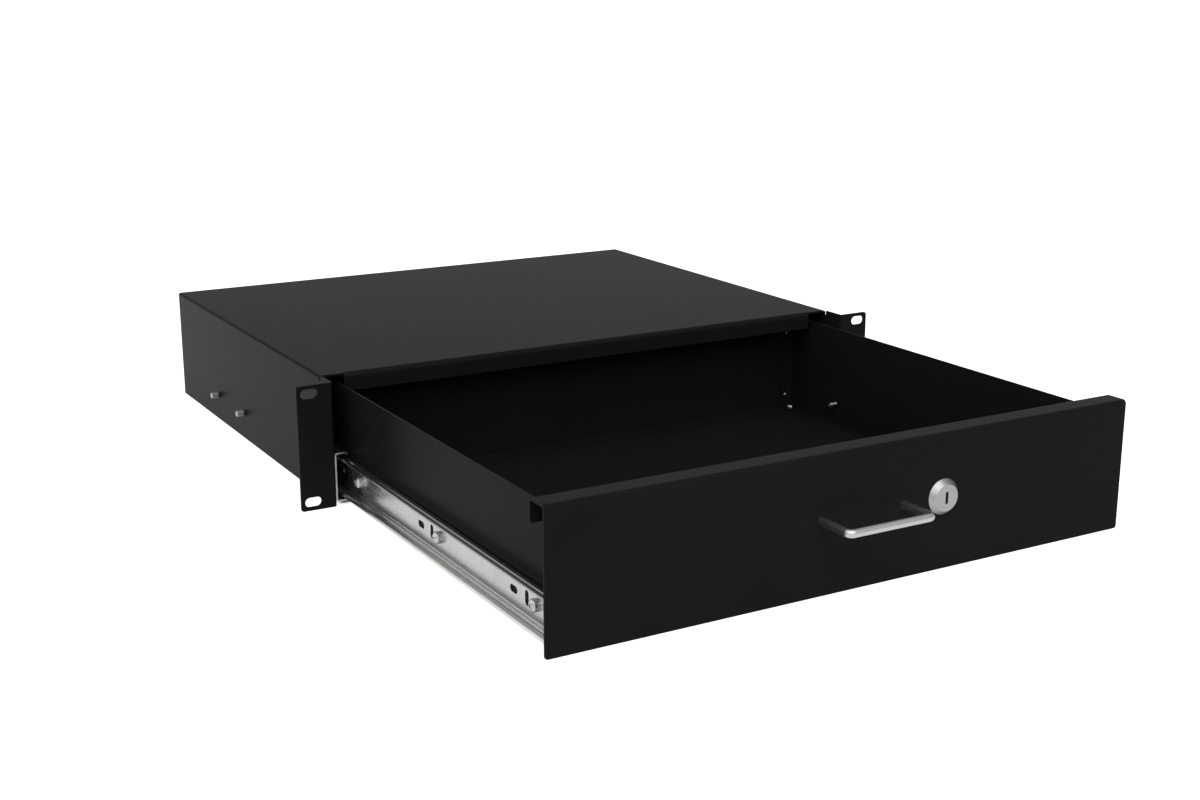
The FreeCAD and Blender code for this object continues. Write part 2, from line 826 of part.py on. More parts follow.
def build_tray():
    """Drawer box folded from one sheet, its side walls turned in behind the front and back walls."""
    body = new_body("drawer_tray")
    sheet_back = tray_back - size.tray_sheet
    sheet_front = panel_back + size.tray_sheet
    fold_line = tray_half - tray_fold_outer
    floor = rounded([
        (panel_back, tray_front_top),
        (panel_back, tray_bottom, tray_fold_outer),
        (tray_back, tray_bottom, tray_fold_outer),
        (tray_back, tray_top),
        (sheet_back, tray_top),
        (sheet_back, tray_floor, size.fold_radius),
        (sheet_front, tray_floor, size.fold_radius),
        (sheet_front, tray_front_top),
    ])
    pad(body, "floor_and_ends", "YZ_Plane", [floor], -fold_line, fold_line)
    wall_front = sheet_front + size.tray_sheet
    wall_back = sheet_back - size.tray_sheet
    fold_front = wall_front + size.tray_corner_radius
    fold_back = wall_back - size.tray_corner_radius
    flange_bottom = tray_floor + size.tray_relief
    for name, side in SIDES.items():
        wall = rounded([
            (side * fold_line, tray_bottom),
            (side * tray_half, tray_bottom, tray_fold_outer),
            (side * tray_half, tray_top),
            (side * tray_inner, tray_top),
            (side * tray_inner, tray_floor, size.fold_radius),
            (side * fold_line, tray_floor),
        ])
        pad(body, f"{name}_wall", "XZ_Plane", [wall], fold_front, fold_back)
        flange_end = tray_half - size.tray_flange
        back_flange = rounded([
            (side * tray_half, fold_back),
            (side * tray_half, sheet_back, tray_corner_outer),
            (side * flange_end, sheet_back),
            (side * flange_end, wall_back),
            (side * tray_inner, wall_back, size.tray_corner_radius),
            (side * tray_inner, fold_back),
        ])
        pad(body, f"{name}_back_flange", "XY_Plane", [back_flange], flange_bottom, tray_top)
        front_flange = rounded([
            (side * tray_half, fold_front),
            (side * tray_half, sheet_front, tray_corner_outer),
            (side * flange_end, sheet_front),
            (side * flange_end, wall_front),
            (side * tray_inner, wall_front, size.tray_corner_radius),
            (side * tray_inner, fold_front),
        ])
        pad(body, f"{name}_front_flange", "XY_Plane", [front_flange], flange_bottom, tray_front_top)
        cheek = rectangle(side * fold_line, flange_bottom, side * tray_half, tray_top)
        pad(body, f"{name}_back_edge", "XZ_Plane", [cheek], sheet_back, tray_back)
    notch_end = lip_back + size.tray_notch_gap
    notch_side = tray_inner - size.fold_radius
    notch = [rectangle(side * notch_side, panel_back, side * (tray_half + size.fold_radius), notch_end)
             for side in SIDES.values()]
    cut(body, "lip_notches", "XY_Plane", notch, tray_front_top, tray_top)
    screw_holes = [Circle(place, slide_axis, size.screw_radius + size.screw_gap)
                   for place in drawer_screw_places()]
    cut(body, "left_screw_holes", "YZ_Plane", screw_holes, -tray_half, -tray_inner)
    cut(body, "right_screw_holes", "YZ_Plane", screw_holes, tray_inner, tray_half)
    rivet_holes = [Circle(*place, size.rivet_radius + size.rivet_gap) for place in rivet_places()]
    cut(body, "back_rivet_holes", "XZ_Plane", rivet_holes, wall_back, tray_back)
    cut(body, "front_rivet_holes", "XZ_Plane", rivet_holes, panel_back, wall_front)
    openings = [Circle(*place, size.stud_radius + size.stud_gap) for place in stud_places()]
    openings += handle_screw_holes()
    openings.append(lock_opening())
    cut(body, "front_openings", "XZ_Plane", openings, panel_back, sheet_front)


def rivet_places():
    """Places (x, z) of the rivets that join the turned-in side walls to the end walls."""
    return [(side * (tray_half - size.rivet_inset), height) for side in SIDES.values()
            for height in (tray_bottom + size.rivet_rise, tray_top - size.rivet_drop)]


def stud_places():
    """Places (x, z) of the studs welded to the front panel."""
    return [(side * (panel_half - size.stud_inset), level * size.stud_rise)
            for side in SIDES.values() for level in (-1, 1)]


def handle_places():
    """Places along X of the handle's two feet."""
    return [side * size.handle_spacing / 2 for side in SIDES.values()]


def handle_screw_holes():
    """Round holes for the two screws that hold the handle."""
    radius = size.handle_screw_radius + size.screw_gap
    return [Circle(x, size.handle_height, radius) for x in handle_places()]


def lock_opening():
    """Opening with two flats for the lock's barrel."""
    return double_d(lock_x, lock_z, size.barrel_radius + size.barrel_gap, size.barrel_flat + size.barrel_gap)


def build_rivets():
    """Domed rivets at the drawer's four corners, their heads inside the drawer."""
    body = new_body("tray_rivets")
    for name, inner_face, outer_face, inward in (
            ("back", tray_back - size.tray_sheet * 2, tray_back, -1),
            ("front", panel_back + size.tray_sheet * 2, panel_back, 1)):
        head_end = inner_face + inward * size.rivet_head_height
        heads = sorted((inner_face, head_end), key=lambda end: end.value)
        shanks = sorted((inner_face, outer_face), key=lambda end: end.value)
        pad(body, f"{name}_heads", "XZ_Plane",
            [Circle(*place, size.rivet_head_radius) for place in rivet_places()], *heads)
        pad(body, f"{name}_shanks", "XZ_Plane",
            [Circle(*place, size.rivet_radius) for place in rivet_places()], *shanks)


def build_front_panel():
    """Front panel with a deep lip along its top, turned down at the back, and four welded studs."""
    body = new_body("front_panel")
    front_fold_outer = size.panel_fold_radius + size.panel_sheet
    return_fold_outer = size.return_fold_radius + size.panel_sheet
    profile = rounded([
        (panel_front, panel_bottom),
        (panel_front, panel_top, front_fold_outer),
        (lip_back, panel_top, return_fold_outer),
        (lip_back, return_bottom),
        (lip_back - size.panel_sheet, return_bottom),
        (lip_back - size.panel_sheet, panel_top - size.panel_sheet, size.return_fold_radius),
        (panel_back, panel_top - size.panel_sheet, size.panel_fold_radius),
        (panel_back, panel_bottom),
    ])
    pad(body, "panel_and_lip", "YZ_Plane", [profile], -panel_half, panel_half)
    openings = handle_screw_holes()
    openings.append(lock_opening())
    cut(body, "openings", "XZ_Plane", openings, panel_front, panel_back)
    studs = [Circle(*place, size.stud_radius) for place in stud_places()]
    pad(body, "studs", "XZ_Plane", studs, panel_back, panel_back + size.stud_length)
    panel_middle = panel_front + size.panel_sheet / 2
    round_edges(body, "panel_corners", lambda place: near(abs(place.x), panel_half)
                and near(place.y, panel_middle) and near(place.z, panel_bottom), size.panel_corner_radius)
    return_middle = lip_back - size.panel_sheet / 2
    round_edges(body, "return_corners", lambda place: near(abs(place.x), panel_half)
                and near(place.y, return_middle) and near(place.z, return_bottom), size.return_corner_radius)


def build_panel_nuts():
    """Flanged nuts on the panel's studs, inside the drawer."""
    body = new_body("panel_nuts")
    seat = panel_back + size.tray_sheet
    top = seat + size.nut_height
    flange_top = seat + size.nut_flange_height
    pad(body, "flanges", "XZ_Plane",
        [Circle(*place, size.nut_flange_radius) for place in stud_places()], seat, flange_top)
    pad(body, "hexagons", "XZ_Plane",
        [hexagon(*place, size.nut_across_flats) for place in stud_places()], seat, top)
    cut(body, "threads", "XZ_Plane",
        [Circle(*place, size.stud_radius + size.screw_gap) for place in stud_places()], seat, top)


def build_handle():
    """Bow handle bent from round rod, with a threaded hole in each foot."""
    body = new_body("handle")
    left, right = handle_places()
    bar = panel_front - size.handle_reach
    spine_path = rounded([
        (left, panel_front),
        (left, bar, size.handle_bend_radius),
        (right, bar, size.handle_bend_radius),
        (right, panel_front),
    ])
    spine = sketch(body, "bow_path", "XY_Plane", [spine_path], size.handle_height, closed=False)
    rod = sketch(body, "rod_section", "XZ_Plane", [Circle(left, size.handle_height, size.handle_radius)],
                 panel_front)
    document.recompute()
    bow = body.newObject("PartDesign::AdditivePipe", "bow")
    bow.Profile = rod
    bow.Spine = (spine, [f"Edge{number}" for number in range(1, len(spine.Shape.Edges) + 1)])
    document.recompute()
    bottom = panel_front - size.handle_hole_depth
    cut(body, "foot_holes", "XZ_Plane", handle_screw_holes(), bottom, panel_front)


def build_handle_screws():
    """Pan-head screws that hold the handle from inside the drawer."""
    body = new_body("handle_screws")
    seat = panel_back + size.tray_sheet
    places = [(x, size.handle_height) for x in handle_places()]
    pad(body, "heads", "XZ_Plane", [Circle(*place, size.handle_screw_head_radius) for place in places],
        seat, seat + size.handle_screw_head_height)
    tip = panel_front - size.handle_hole_depth + size.screw_gap
    pad(body, "shanks", "XZ_Plane", [Circle(*place, size.handle_screw_radius) for place in places], tip, seat)


# ---------------------------------------------------------------------------------------------------------
# Lock


def build_lock_housing():
    """Lock body: a conical head outside the panel and a barrel with two flats through it."""
    body = new_body("lock_housing")
    face = panel_front - size.lock_head_height
    rim = panel_front - size.lock_rim_height
    bore = size.core_radius + size.running_gap
    profile = [
        (face, bore), (face, size.lock_face_radius), (rim, size.lock_shoulder_radius),
        (rim, size.lock_rim_radius), (panel_front, size.lock_rim_radius), (panel_front, size.barrel_radius),
        (barrel_end, size.barrel_radius), (barrel_end, bore),
    ]
    revolve(body, "head_and_barrel", profile, lock_x, lock_z)
    edge = size.lock_rim_radius
    flats = [rectangle(lock_x + side * size.barrel_flat, lock_z - edge, lock_x + side * edge, lock_z + edge)
             for side in SIDES.values()]
    cut(body, "flats", "XZ_Plane", flats, panel_front, barrel_end)


def build_lock_nut():
    """Hexagon nut that clamps the lock against the drawer's front wall."""
    body = new_body("lock_nut")
    seat = panel_back + size.tray_sheet
    top = seat + size.lock_nut_height
    pad(body, "hexagon", "XZ_Plane", [hexagon(lock_x, lock_z, size.lock_nut_across_flats)], seat, top)
    cut(body, "thread", "XZ_Plane", [Circle(lock_x, lock_z, size.barrel_radius + size.screw_gap)], seat, top)


def build_lock_core():
    """Turning core with the key slot in front and a square tail for the cam."""
    body = new_body("lock_core")
    face = panel_front - size.lock_head_height
    tail_end = cam_back + size.running_gap
    pad(body, "core", "XZ_Plane", [Circle(lock_x, lock_z, size.core_radius)], face, cam_front)
    half = size.cam_square / 2
    tail = rectangle(lock_x - half, lock_z - half, lock_x + half, lock_z + half)
    pad(body, "tail", "XZ_Plane", [tail], cam_front, tail_end)
    key = rectangle(lock_x - size.key_slot_width / 2, lock_z - size.key_slot_height / 2,
                    lock_x + size.key_slot_width / 2, lock_z + size.key_slot_height / 2)
    cut(body, "key_slot", "XZ_Plane", [key], face, face + size.key_slot_depth)
    cut(body, "tail_thread", "XZ_Plane", [Circle(lock_x, lock_z, size.cam_screw_radius + size.screw_gap)],
        tail_end - size.cam_screw_depth, tail_end)


def build_lock_cam():
    """Flat cam that turns up behind the cover's lip; at rest it lies level, pointing to the middle."""
    body = new_body("lock_cam")
    arm = size.cam_reach + size.cam_half_width
    middle = lock_x + size.cam_half_width - arm / 2
    pad(body, "arm", "XZ_Plane", [slot(middle, lock_z, arm, size.cam_half_width * 2)], cam_front, cam_back)
    half = size.cam_square / 2 + size.running_gap
    hole = rectangle(lock_x - half, lock_z - half, lock_x + half, lock_z + half)
    cut(body, "square_hole", "XZ_Plane", [hole], cam_front, cam_back)


def build_cam_screw():
    """Screw that holds the cam on the core's tail."""
    body = new_body("cam_screw")
    seat = cam_back + size.running_gap
    pad(body, "head", "XZ_Plane", [Circle(lock_x, lock_z, size.cam_head_radius)],
        seat, seat + size.cam_head_height)
    pad(body, "shank", "XZ_Plane", [Circle(lock_x, lock_z, size.cam_screw_radius)],
        seat - size.cam_screw_depth + size.screw_gap, seat)


# ---------------------------------------------------------------------------------------------------------
# Whole drawer


def build_all():
    """Build every node."""
    build_case_shell()
    build_rear_panel()
    for name, side in SIDES.items():
        build_case_rail(name, side)
        build_side_screws(f"{name}_case_rail_screws", side, side * (case_inner - size.rail_sheet),
                          size.case_screw_radius, (size.flat_head_radius, size.flat_head_height),
                          case_screw_places())
        build_drawer_rail(name, side)
        build_side_screws(f"{name}_drawer_rail_screws", -side, side * (tray_half + size.rail_sheet),
                          size.screw_radius, (size.pan_head_radius, size.pan_head_height),
                          drawer_screw_places())
        build_cage(name, side)
        build_balls(name, side)
    build_tray()
    build_rivets()
    build_front_panel()
    build_panel_nuts()
    build_handle()
    build_handle_screws()
    build_lock_housing()
    build_lock_nut()
    build_lock_core()
    build_lock_cam()
    build_cam_screw()
    document.recompute()


def check():
    """Stop on a failed object, a pocket that cuts nothing, or a node without a sound shape."""
    failed = [item.Label for item in document.Objects if "Invalid" in item.State or "Error" in item.State]
    if failed:
        raise ValueError(f"these failed: {failed}")
    for item in document.Objects:
        if item.TypeId == "PartDesign::Pocket":
            before, after = item.BaseFeature.Shape.Volume, item.Shape.Volume
            if after >= before:
                raise ValueError(f"{item.Label} of {item.getParentGeoFeatureGroup().Label} cuts nothing")
    for node in nodes:
        if node.Shape.isNull() or not node.Shape.isValid():
            raise ValueError(f"{node.Label} has no sound shape")


def write():
    """Write one STEP file for each node."""
    os.makedirs("parts", exist_ok=True)
    for node in nodes:
        node.Shape.exportStep(f"parts/{node.Label}.step")
        print(f"{node.Label}: {len(node.Shape.Solids)} solid(s), {node.Shape.Volume / 1000:.2f} cm3")


build_all()
check()
write()
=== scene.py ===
"""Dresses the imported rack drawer.

Powder-coated sheet, zinc-plated ball slides, a satin handle and a cam lock, with every fastener in full
detail. Lengths are in metres and in the part's own frame: +X right, +Y into the rack, +Z up.
"""

import logging
import math
from collections.abc import Iterable
from dataclasses import dataclass
from enum import Enum

import bmesh
import bpy
import numpy as np
from mathutils import Euler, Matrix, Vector


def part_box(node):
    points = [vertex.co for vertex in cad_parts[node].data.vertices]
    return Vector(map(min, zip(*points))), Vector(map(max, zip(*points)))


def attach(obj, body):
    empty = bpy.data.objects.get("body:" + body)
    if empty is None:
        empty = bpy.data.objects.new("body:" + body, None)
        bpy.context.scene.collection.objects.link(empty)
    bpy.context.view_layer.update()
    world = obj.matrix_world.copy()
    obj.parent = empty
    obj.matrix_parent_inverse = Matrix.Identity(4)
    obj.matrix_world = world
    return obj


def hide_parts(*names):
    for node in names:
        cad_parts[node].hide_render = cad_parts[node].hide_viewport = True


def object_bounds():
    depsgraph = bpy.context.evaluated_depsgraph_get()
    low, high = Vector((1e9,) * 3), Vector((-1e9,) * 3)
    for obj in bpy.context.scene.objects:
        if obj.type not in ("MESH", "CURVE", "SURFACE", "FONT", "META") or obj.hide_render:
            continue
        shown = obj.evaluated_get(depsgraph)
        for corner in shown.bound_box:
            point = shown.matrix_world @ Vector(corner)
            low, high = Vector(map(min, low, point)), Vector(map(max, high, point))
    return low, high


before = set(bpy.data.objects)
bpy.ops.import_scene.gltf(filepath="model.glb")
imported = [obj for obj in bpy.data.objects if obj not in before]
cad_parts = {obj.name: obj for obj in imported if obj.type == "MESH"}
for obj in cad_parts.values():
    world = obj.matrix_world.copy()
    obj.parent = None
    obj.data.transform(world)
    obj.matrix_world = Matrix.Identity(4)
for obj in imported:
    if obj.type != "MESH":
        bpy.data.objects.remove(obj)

MM = 0.001
CAD_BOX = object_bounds()
LOG = logging.getLogger("rack_drawer")
Triple = tuple[float, float, float]
Row = tuple[float | np.ndarray, float | np.ndarray]
# Mesh attribute that marks grooves and recesses, where a finish darkens its colour as painted shade.
GROOVE_SHADE_MARK = "groove"
JOINED = 0.002 * MM
ROWS_PER_PITCH = 8
LEAST_SINE = 1e-6


# ---------------------------------------------------------------------------------------------------------
# Names of the assembly


class Body(Enum):
    """Rigid bodies that pieces ride on."""

    CASE = "case"
    DRAWER = "drawer"
    LEFT_CAGE = "left_cage"
    RIGHT_CAGE = "right_cage"
    LOCK_CORE = "lock_core"


class Side(Enum):
    """Left or right half of the assembly, seen from the front."""

    LEFT = "left"
    RIGHT = "right"

    @property
    def sign(self) -> int:
        """Sign of X on this side."""
        return -1 if self is Side.LEFT else 1

    @property
    def cage(self) -> Body:
        """Body of this side's ball cage."""
        return Body.LEFT_CAGE if self is Side.LEFT else Body.RIGHT_CAGE


class Slot(Enum):
    """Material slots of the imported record."""

    CASE_COAT = "powder_coated_case"
    PANEL_COAT = "powder_coated_panel"
    RAIL_ZINC = "zinc_plated_rail"
    FASTENER_ZINC = "zinc_plated_fastener"
    RIVET = "bare_rivet"
    BALL = "ball_steel"
    HANDLE = "satin_handle"
    LOCK = "satin_lock"


# ---------------------------------------------------------------------------------------------------------
# Finishes


def scaled(colour: Triple, factor: float) -> Triple:
    """A colour made lighter or darker by a factor."""
    return tuple(channel * factor for channel in colour)


class NodeGraph:
    """A material's shader nodes, added and joined by name."""

    def __init__(self, name: str) -> None:
        """Start a material with only its Principled shader and output.

        Args:
            name: Name of the material.
        """
        self.material = bpy.data.materials.new(name)
        self.material.use_nodes = True
        self.nodes = self.material.node_tree.nodes
        self.links = self.material.node_tree.links
        self.shader = next(node for node in self.nodes if node.type == "BSDF_PRINCIPLED")
        self.output = next(node for node in self.nodes if node.type == "OUTPUT_MATERIAL")
        self.place = self.nodes.new("ShaderNodeTexCoord").outputs["Object"]

    def settle(self, **values: float | tuple) -> None:
        """Set constant inputs of the Principled shader; an underscore in a name stands for a space."""
        for name, value in values.items():
            self.shader.inputs[name.replace("_", " ")].default_value = value

    def add(self, kind: str, **values: object) -> bpy.types.Node:
        """Add a node.

        Args:
            kind: Node type without its ShaderNode prefix.
            values: Input values or sockets by name, and node settings in lower case.

        Returns:
            The node.
        """
        node = self.nodes.new(f"ShaderNode{kind}")
        for name, value in values.items():
            socket = node.inputs.get(name.replace("_", " "))
            if socket is None:
                setattr(node, name, value)
            elif isinstance(value, bpy.types.NodeSocket):
                self.links.new(value, socket)
            else:
                socket.default_value = value
        return node

    def sum(self, first: bpy.types.NodeSocket, operation: str, *others: float | bpy.types.NodeSocket
            ) -> bpy.types.NodeSocket:
        """Work out a sum of a socket's value and other values or sockets, and return its result."""
        node = self.add("Math", operation=operation)
        for place, value in zip(node.inputs, (first, *others)):
            if isinstance(value, bpy.types.NodeSocket):
                self.links.new(value, place)
            else:
                place.default_value = value
        return node.outputs[0]

    def noise(self, size: float, detail: float, stretch: Triple = (1.0, 1.0, 1.0)) -> bpy.types.NodeSocket:
        """Noise in object space.

        Args:
            size: Size of its features in metres.
            detail: Number of finer octaves.
            stretch: How much longer a feature is along each axis.

        Returns:
            The noise's value, about 0.5 on average.
        """
        place = self.place
        if stretch != (1.0, 1.0, 1.0):
            scale = tuple(1.0 / length for length in stretch)
            place = self.add("Mapping", Vector=place, Scale=scale).outputs["Vector"]
        noise = self.add("TexNoise", Vector=place, Scale=1.0 / size, Detail=detail)
        return noise.outputs["Fac"]

    def ramp(self, value: bpy.types.NodeSocket, low: float, high: float) -> bpy.types.NodeSocket:
        """Spread the middle of a noise, 0.3 to 0.7, over a range of values."""
        spread = self.add("MapRange", Value=value)
        for name, number in (("From Min", 0.3), ("From Max", 0.7), ("To Min", low), ("To Max", high)):
            spread.inputs[name].default_value = number
        return spread.outputs["Result"]

    def blend(self, value: bpy.types.NodeSocket, first: Triple | bpy.types.NodeSocket,
              second: Triple) -> bpy.types.NodeSocket:
        """Mix two colours, of which the first may come from another node, by a value from 0 to 1."""
        mix = self.add("Mix", data_type="RGBA")
        self.links.new(value, mix.inputs["Factor"])
        start, end = [socket for socket in mix.inputs if socket.type == "RGBA"]
        if isinstance(first, bpy.types.NodeSocket):
            self.links.new(first, start)
        else:
            start.default_value = (*first, 1.0)
        end.default_value = (*second, 1.0)
        return next(socket for socket in mix.outputs if socket.type == "RGBA")

    def clouds(self, size: float, detail: float, colour: Triple,
               shades: tuple[float, float]) -> bpy.types.NodeSocket:
        """A colour that drifts between two shades of itself in patches of a size."""
        dark, light = (scaled(colour, shade) for shade in shades)
        return self.blend(self.ramp(self.noise(size, detail), 0.0, 1.0), dark, light)

    def roughen(self, value: bpy.types.NodeSocket, roughness: float, spread: float) -> None:
        """Let a noise move the roughness by a spread either way."""
        self.connect("Roughness", self.ramp(value, roughness - spread, roughness + spread))

    def connect(self, name: str, socket: bpy.types.NodeSocket) -> None:
        """Join a socket to one of the Principled shader's inputs."""
        self.links.new(socket, self.shader.inputs[name])

    def relief(self, *layers: tuple[bpy.types.NodeSocket, float]) -> None:
        """Raise the surface by layers of (value, height in metres), each on the one before."""
        normal = None
        for value, height in layers:
            bump = self.add("Bump", Height=value, Distance=height, Strength=1.0)
            if normal is not None:
                self.links.new(normal, bump.inputs["Normal"])
            normal = bump.outputs["Normal"]
        self.connect("Normal", normal)


@dataclass(frozen=True)
class PowderCoat:
    """Baked black powder on sheet steel: a low orange peel under a fine grain."""

    name: str
    colour: Triple
    roughness: float
    specular: float = 0.025
    peel_size: float = 1.6 * MM
    peel_height: float = 0.004 * MM
    grain_size: float = 0.35 * MM
    grain_height: float = 0.0015 * MM
    patch_size: float = 70.0 * MM
    patch_shades: tuple[float, float] = (0.93, 1.07)
    roughness_spread: float = 0.05

    def material(self) -> bpy.types.Material:
        """Build the coat's material."""
        graph = NodeGraph(self.name)
        graph.settle(Specular_IOR_Level=self.specular)
        graph.connect("Base Color", graph.clouds(self.patch_size, 3.0, self.colour, self.patch_shades))
        grain = graph.noise(self.grain_size, 3.0)
        graph.roughen(grain, self.roughness, self.roughness_spread)
        peel = graph.noise(self.peel_size, 2.0)
        graph.relief((peel, self.peel_height), (grain, self.grain_height))
        return graph.material


@dataclass(frozen=True)
class ZincPlate:
    """Bright zinc on rolled steel, with faint lines along the rolling direction."""

    name: str
    colour: Triple
    roughness: float
    line_size: float = 0.5 * MM
    line_stretch: Triple = (1.0, 60.0, 1.0)
    line_height: float = 0.002 * MM
    cloud_size: float = 14.0 * MM
    cloud_shades: tuple[float, float] = (0.94, 1.04)
    roughness_spread: float = 0.06

    def material(self) -> bpy.types.Material:
        """Build the plate's material."""
        graph = NodeGraph(self.name)
        graph.settle(Metallic=1.0)
        graph.connect("Base Color", graph.clouds(self.cloud_size, 4.0, self.colour, self.cloud_shades))
        lines = graph.noise(self.line_size, 3.0, self.line_stretch)
        graph.roughen(lines, self.roughness, self.roughness_spread)
        graph.relief((lines, self.line_height))
        return graph.material


@dataclass(frozen=True)
class SatinMetal:
    """Plated or blasted metal with an even, very fine satin grain."""

    name: str
    colour: Triple
    roughness: float
    grain_size: float = 0.18 * MM
    grain_height: float = 0.0012 * MM
    tone_size: float = 9.0 * MM
    tone_shades: tuple[float, float] = (0.97, 1.03)
    roughness_spread: float = 0.04
    # Share of the colour left in marked grooves and recesses, as painted shade.
    groove_shade_share: float = 1.0

    def material(self) -> bpy.types.Material:
        """Build the metal's material, with only a share of its colour left in grooves and recesses as painted
        shade.
        """
        graph = NodeGraph(self.name)
        graph.settle(Metallic=1.0)
        colour = graph.clouds(self.tone_size, 3.0, self.colour, self.tone_shades)
        # Painted shade: the colour is darkened where the mesh marks a groove or recess.
        if self.groove_shade_share < 1.0:
            mark = graph.add("Attribute", attribute_name=GROOVE_SHADE_MARK).outputs["Fac"]
            colour = graph.blend(mark, colour, scaled(self.colour, self.groove_shade_share))
        graph.connect("Base Color", colour)
        grain = graph.noise(self.grain_size, 2.0)
        graph.roughen(grain, self.roughness, self.roughness_spread)
        graph.relief((grain, self.grain_height))
        return graph.material


FINISHES = {
    Slot.CASE_COAT: PowderCoat("case_powder_coat", (0.0112, 0.0112, 0.0113), 0.31),
    Slot.PANEL_COAT: PowderCoat("panel_powder_coat", (0.0131, 0.0131, 0.0132), 0.31),
    Slot.RAIL_ZINC: ZincPlate("rail_zinc_plate", (0.60, 0.60, 0.59), 0.27),
    # The fasteners keep 0.45 of their colour in grooves and recesses, as painted shade.
    Slot.FASTENER_ZINC: SatinMetal("fastener_zinc_plate", (0.57, 0.57, 0.565), 0.30, groove_shade_share=0.45),
    Slot.RIVET: SatinMetal("rivet_aluminium", (0.36, 0.36, 0.365), 0.34),
    Slot.BALL: SatinMetal("ball_steel", (0.55, 0.55, 0.555), 0.10, grain_height=0.0002 * MM),
    Slot.HANDLE: SatinMetal("handle_satin_chrome", (0.64, 0.64, 0.64), 0.33),
    Slot.LOCK: SatinMetal("lock_satin_nickel", (0.47, 0.47, 0.462), 0.40),
}


class Wardrobe:
    """Makes each finish's material once and puts it on pieces."""

    def __init__(self) -> None:
        """Start with no material made."""
        self.made: dict[Slot, bpy.types.Material] = {}

    def dress(self, piece: bpy.types.Object, slot: Slot) -> None:
        """Give a piece the finish of a slot."""
        if slot not in self.made:
            self.made[slot] = FINISHES[slot].material()
        piece.data.materials.clear()
        piece.data.materials.append(self.made[slot])


WARDROBE = Wardrobe()


# ---------------------------------------------------------------------------------------------------------
# Surfaces


@dataclass(frozen=True)
class Axis:
    """A local frame: a point, a direction and the two directions across it."""

    point: Vector
    along: Vector
    across: Vector

    def place(self, x: np.ndarray, y: np.ndarray, height: np.ndarray) -> np.ndarray:
        """Points at (x, y) across the axis and height along it, as an array with a last axis of three."""
        third = self.along.cross(self.across)
        parts = (x[..., None] * np.array(self.across), y[..., None] * np.array(third),
                 height[..., None] * np.array(self.along))
        return np.array(self.point) + sum(parts)


def level_axis(point: Triple, along: Triple) -> Axis:
    """A level axis through a point, with Z across it."""
    return Axis(Vector(point), Vector(along), Vector((0.0, 0.0, 1.0)))


def angles(count: int) -> np.ndarray:
    """Evenly spaced angles once round a circle."""
    return np.linspace(0.0, 2.0 * math.pi, count, endpoint=False)


def grid_faces(rows: int, columns: int, start: int) -> np.ndarray:
    """Quads of a grid that closes on itself along its columns.

    Face (i, j) joins rows i and i + 1 between column j and the next one, which wraps to the first.
    """
    index = start + np.arange(rows * columns).reshape(rows, columns)
    here, there = index[:-1], index[1:]
    quads = np.stack([here, np.roll(here, -1, 1), np.roll(there, -1, 1), there], axis=-1)
    return quads.reshape(-1, 4)


class Surface:
    """Gathers skins worked out as arrays and makes one mesh of them."""

    def __init__(self) -> None:
        """Start with no skin."""
        self.points: list[np.ndarray] = []
        self.faces: list[np.ndarray] = []
        self.grooves: list[np.ndarray] = []
        self.total = 0

    def skin(self, points: np.ndarray, groove: np.ndarray | float = 0.0) -> None:
        """Add a closed skin: rows of points, each row a loop, whose first and last rows shrink to a pole.

        Args:
            points: Array of rows by columns by three.
            groove: How much of a groove each point is in, from 0 to 1, for each row or for all; it sets the
                painted shade there.
        """
        rows, columns = points.shape[:2]
        self.faces.append(grid_faces(rows, columns, self.total))
        self.points.append(points.reshape(-1, 3))
        self.grooves.append(np.broadcast_to(groove, (columns, rows)).T.ravel())
        self.total += rows * columns

    def mesh(self, name: str, merge: float = 1e-4 * MM, crease: float = math.radians(40.0)) -> bpy.types.Mesh:
        """Make the mesh, merge the points of each pole and turn its faces outwards."""
        mesh = bpy.data.meshes.new(name)
        mesh.from_pydata(np.concatenate(self.points).tolist(), [], np.concatenate(self.faces).tolist())
        grooves = np.concatenate(self.grooves)
        # Painted shade: the groove marks go on the mesh for the finish to darken.
        if grooves.any():
            mesh.attributes.new(GROOVE_SHADE_MARK, "FLOAT", "POINT").data.foreach_set("value", grooves)
        shape = bmesh.new()
        shape.from_mesh(mesh)
        bmesh.ops.remove_doubles(shape, verts=shape.verts, dist=merge)
        bmesh.ops.dissolve_degenerate(shape, edges=shape.edges, dist=merge)
        bmesh.ops.recalc_face_normals(shape, faces=shape.faces)
        shape.to_mesh(mesh)
        shape.free()
        mesh.shade_smooth()
        mesh.set_sharp_from_angle(angle=crease)
        return mesh


def loops(axis: Axis, turn: np.ndarray, rows: Iterable[Row]) -> np.ndarray:
    """Loops about an axis, one for each row's radius and height, either of which may differ by angle."""
    radii, heights = (np.array([value * np.ones_like(turn) for value in column]) for column in zip(*rows))
    return axis.place(radii * np.cos(turn), radii * np.sin(turn), heights)


def rounded_profile(corners: list[tuple[float, float, float]], steps: int = 4) -> np.ndarray:
    """A profile whose corners (radius, height, round) are eased by quadratic curves.

    Each corner is left at a distance of its round before it and met again as far after it, and the points
    between follow (1 - t)^2 A + 2 t (1 - t) B + t^2 C, with B the corner itself.
    """
    points = []
    for place, (radius, height, ease) in enumerate(corners):
        corner = np.array([radius, height])
        if not ease or place in (0, len(corners) - 1):
            points.append(corner)
            continue
        before = np.array(corners[place - 1][:2]) - corner
        after = np.array(corners[place + 1][:2]) - corner
        first = corner + before * min(ease / np.linalg.norm(before), 0.5)
        last = corner + after * min(ease / np.linalg.norm(after), 0.5)
        for step in np.linspace(0.0, 1.0, steps):
            points.append((1 - step) ** 2 * first + 2 * step * (1 - step) * corner + step ** 2 * last)
    return np.array(points)


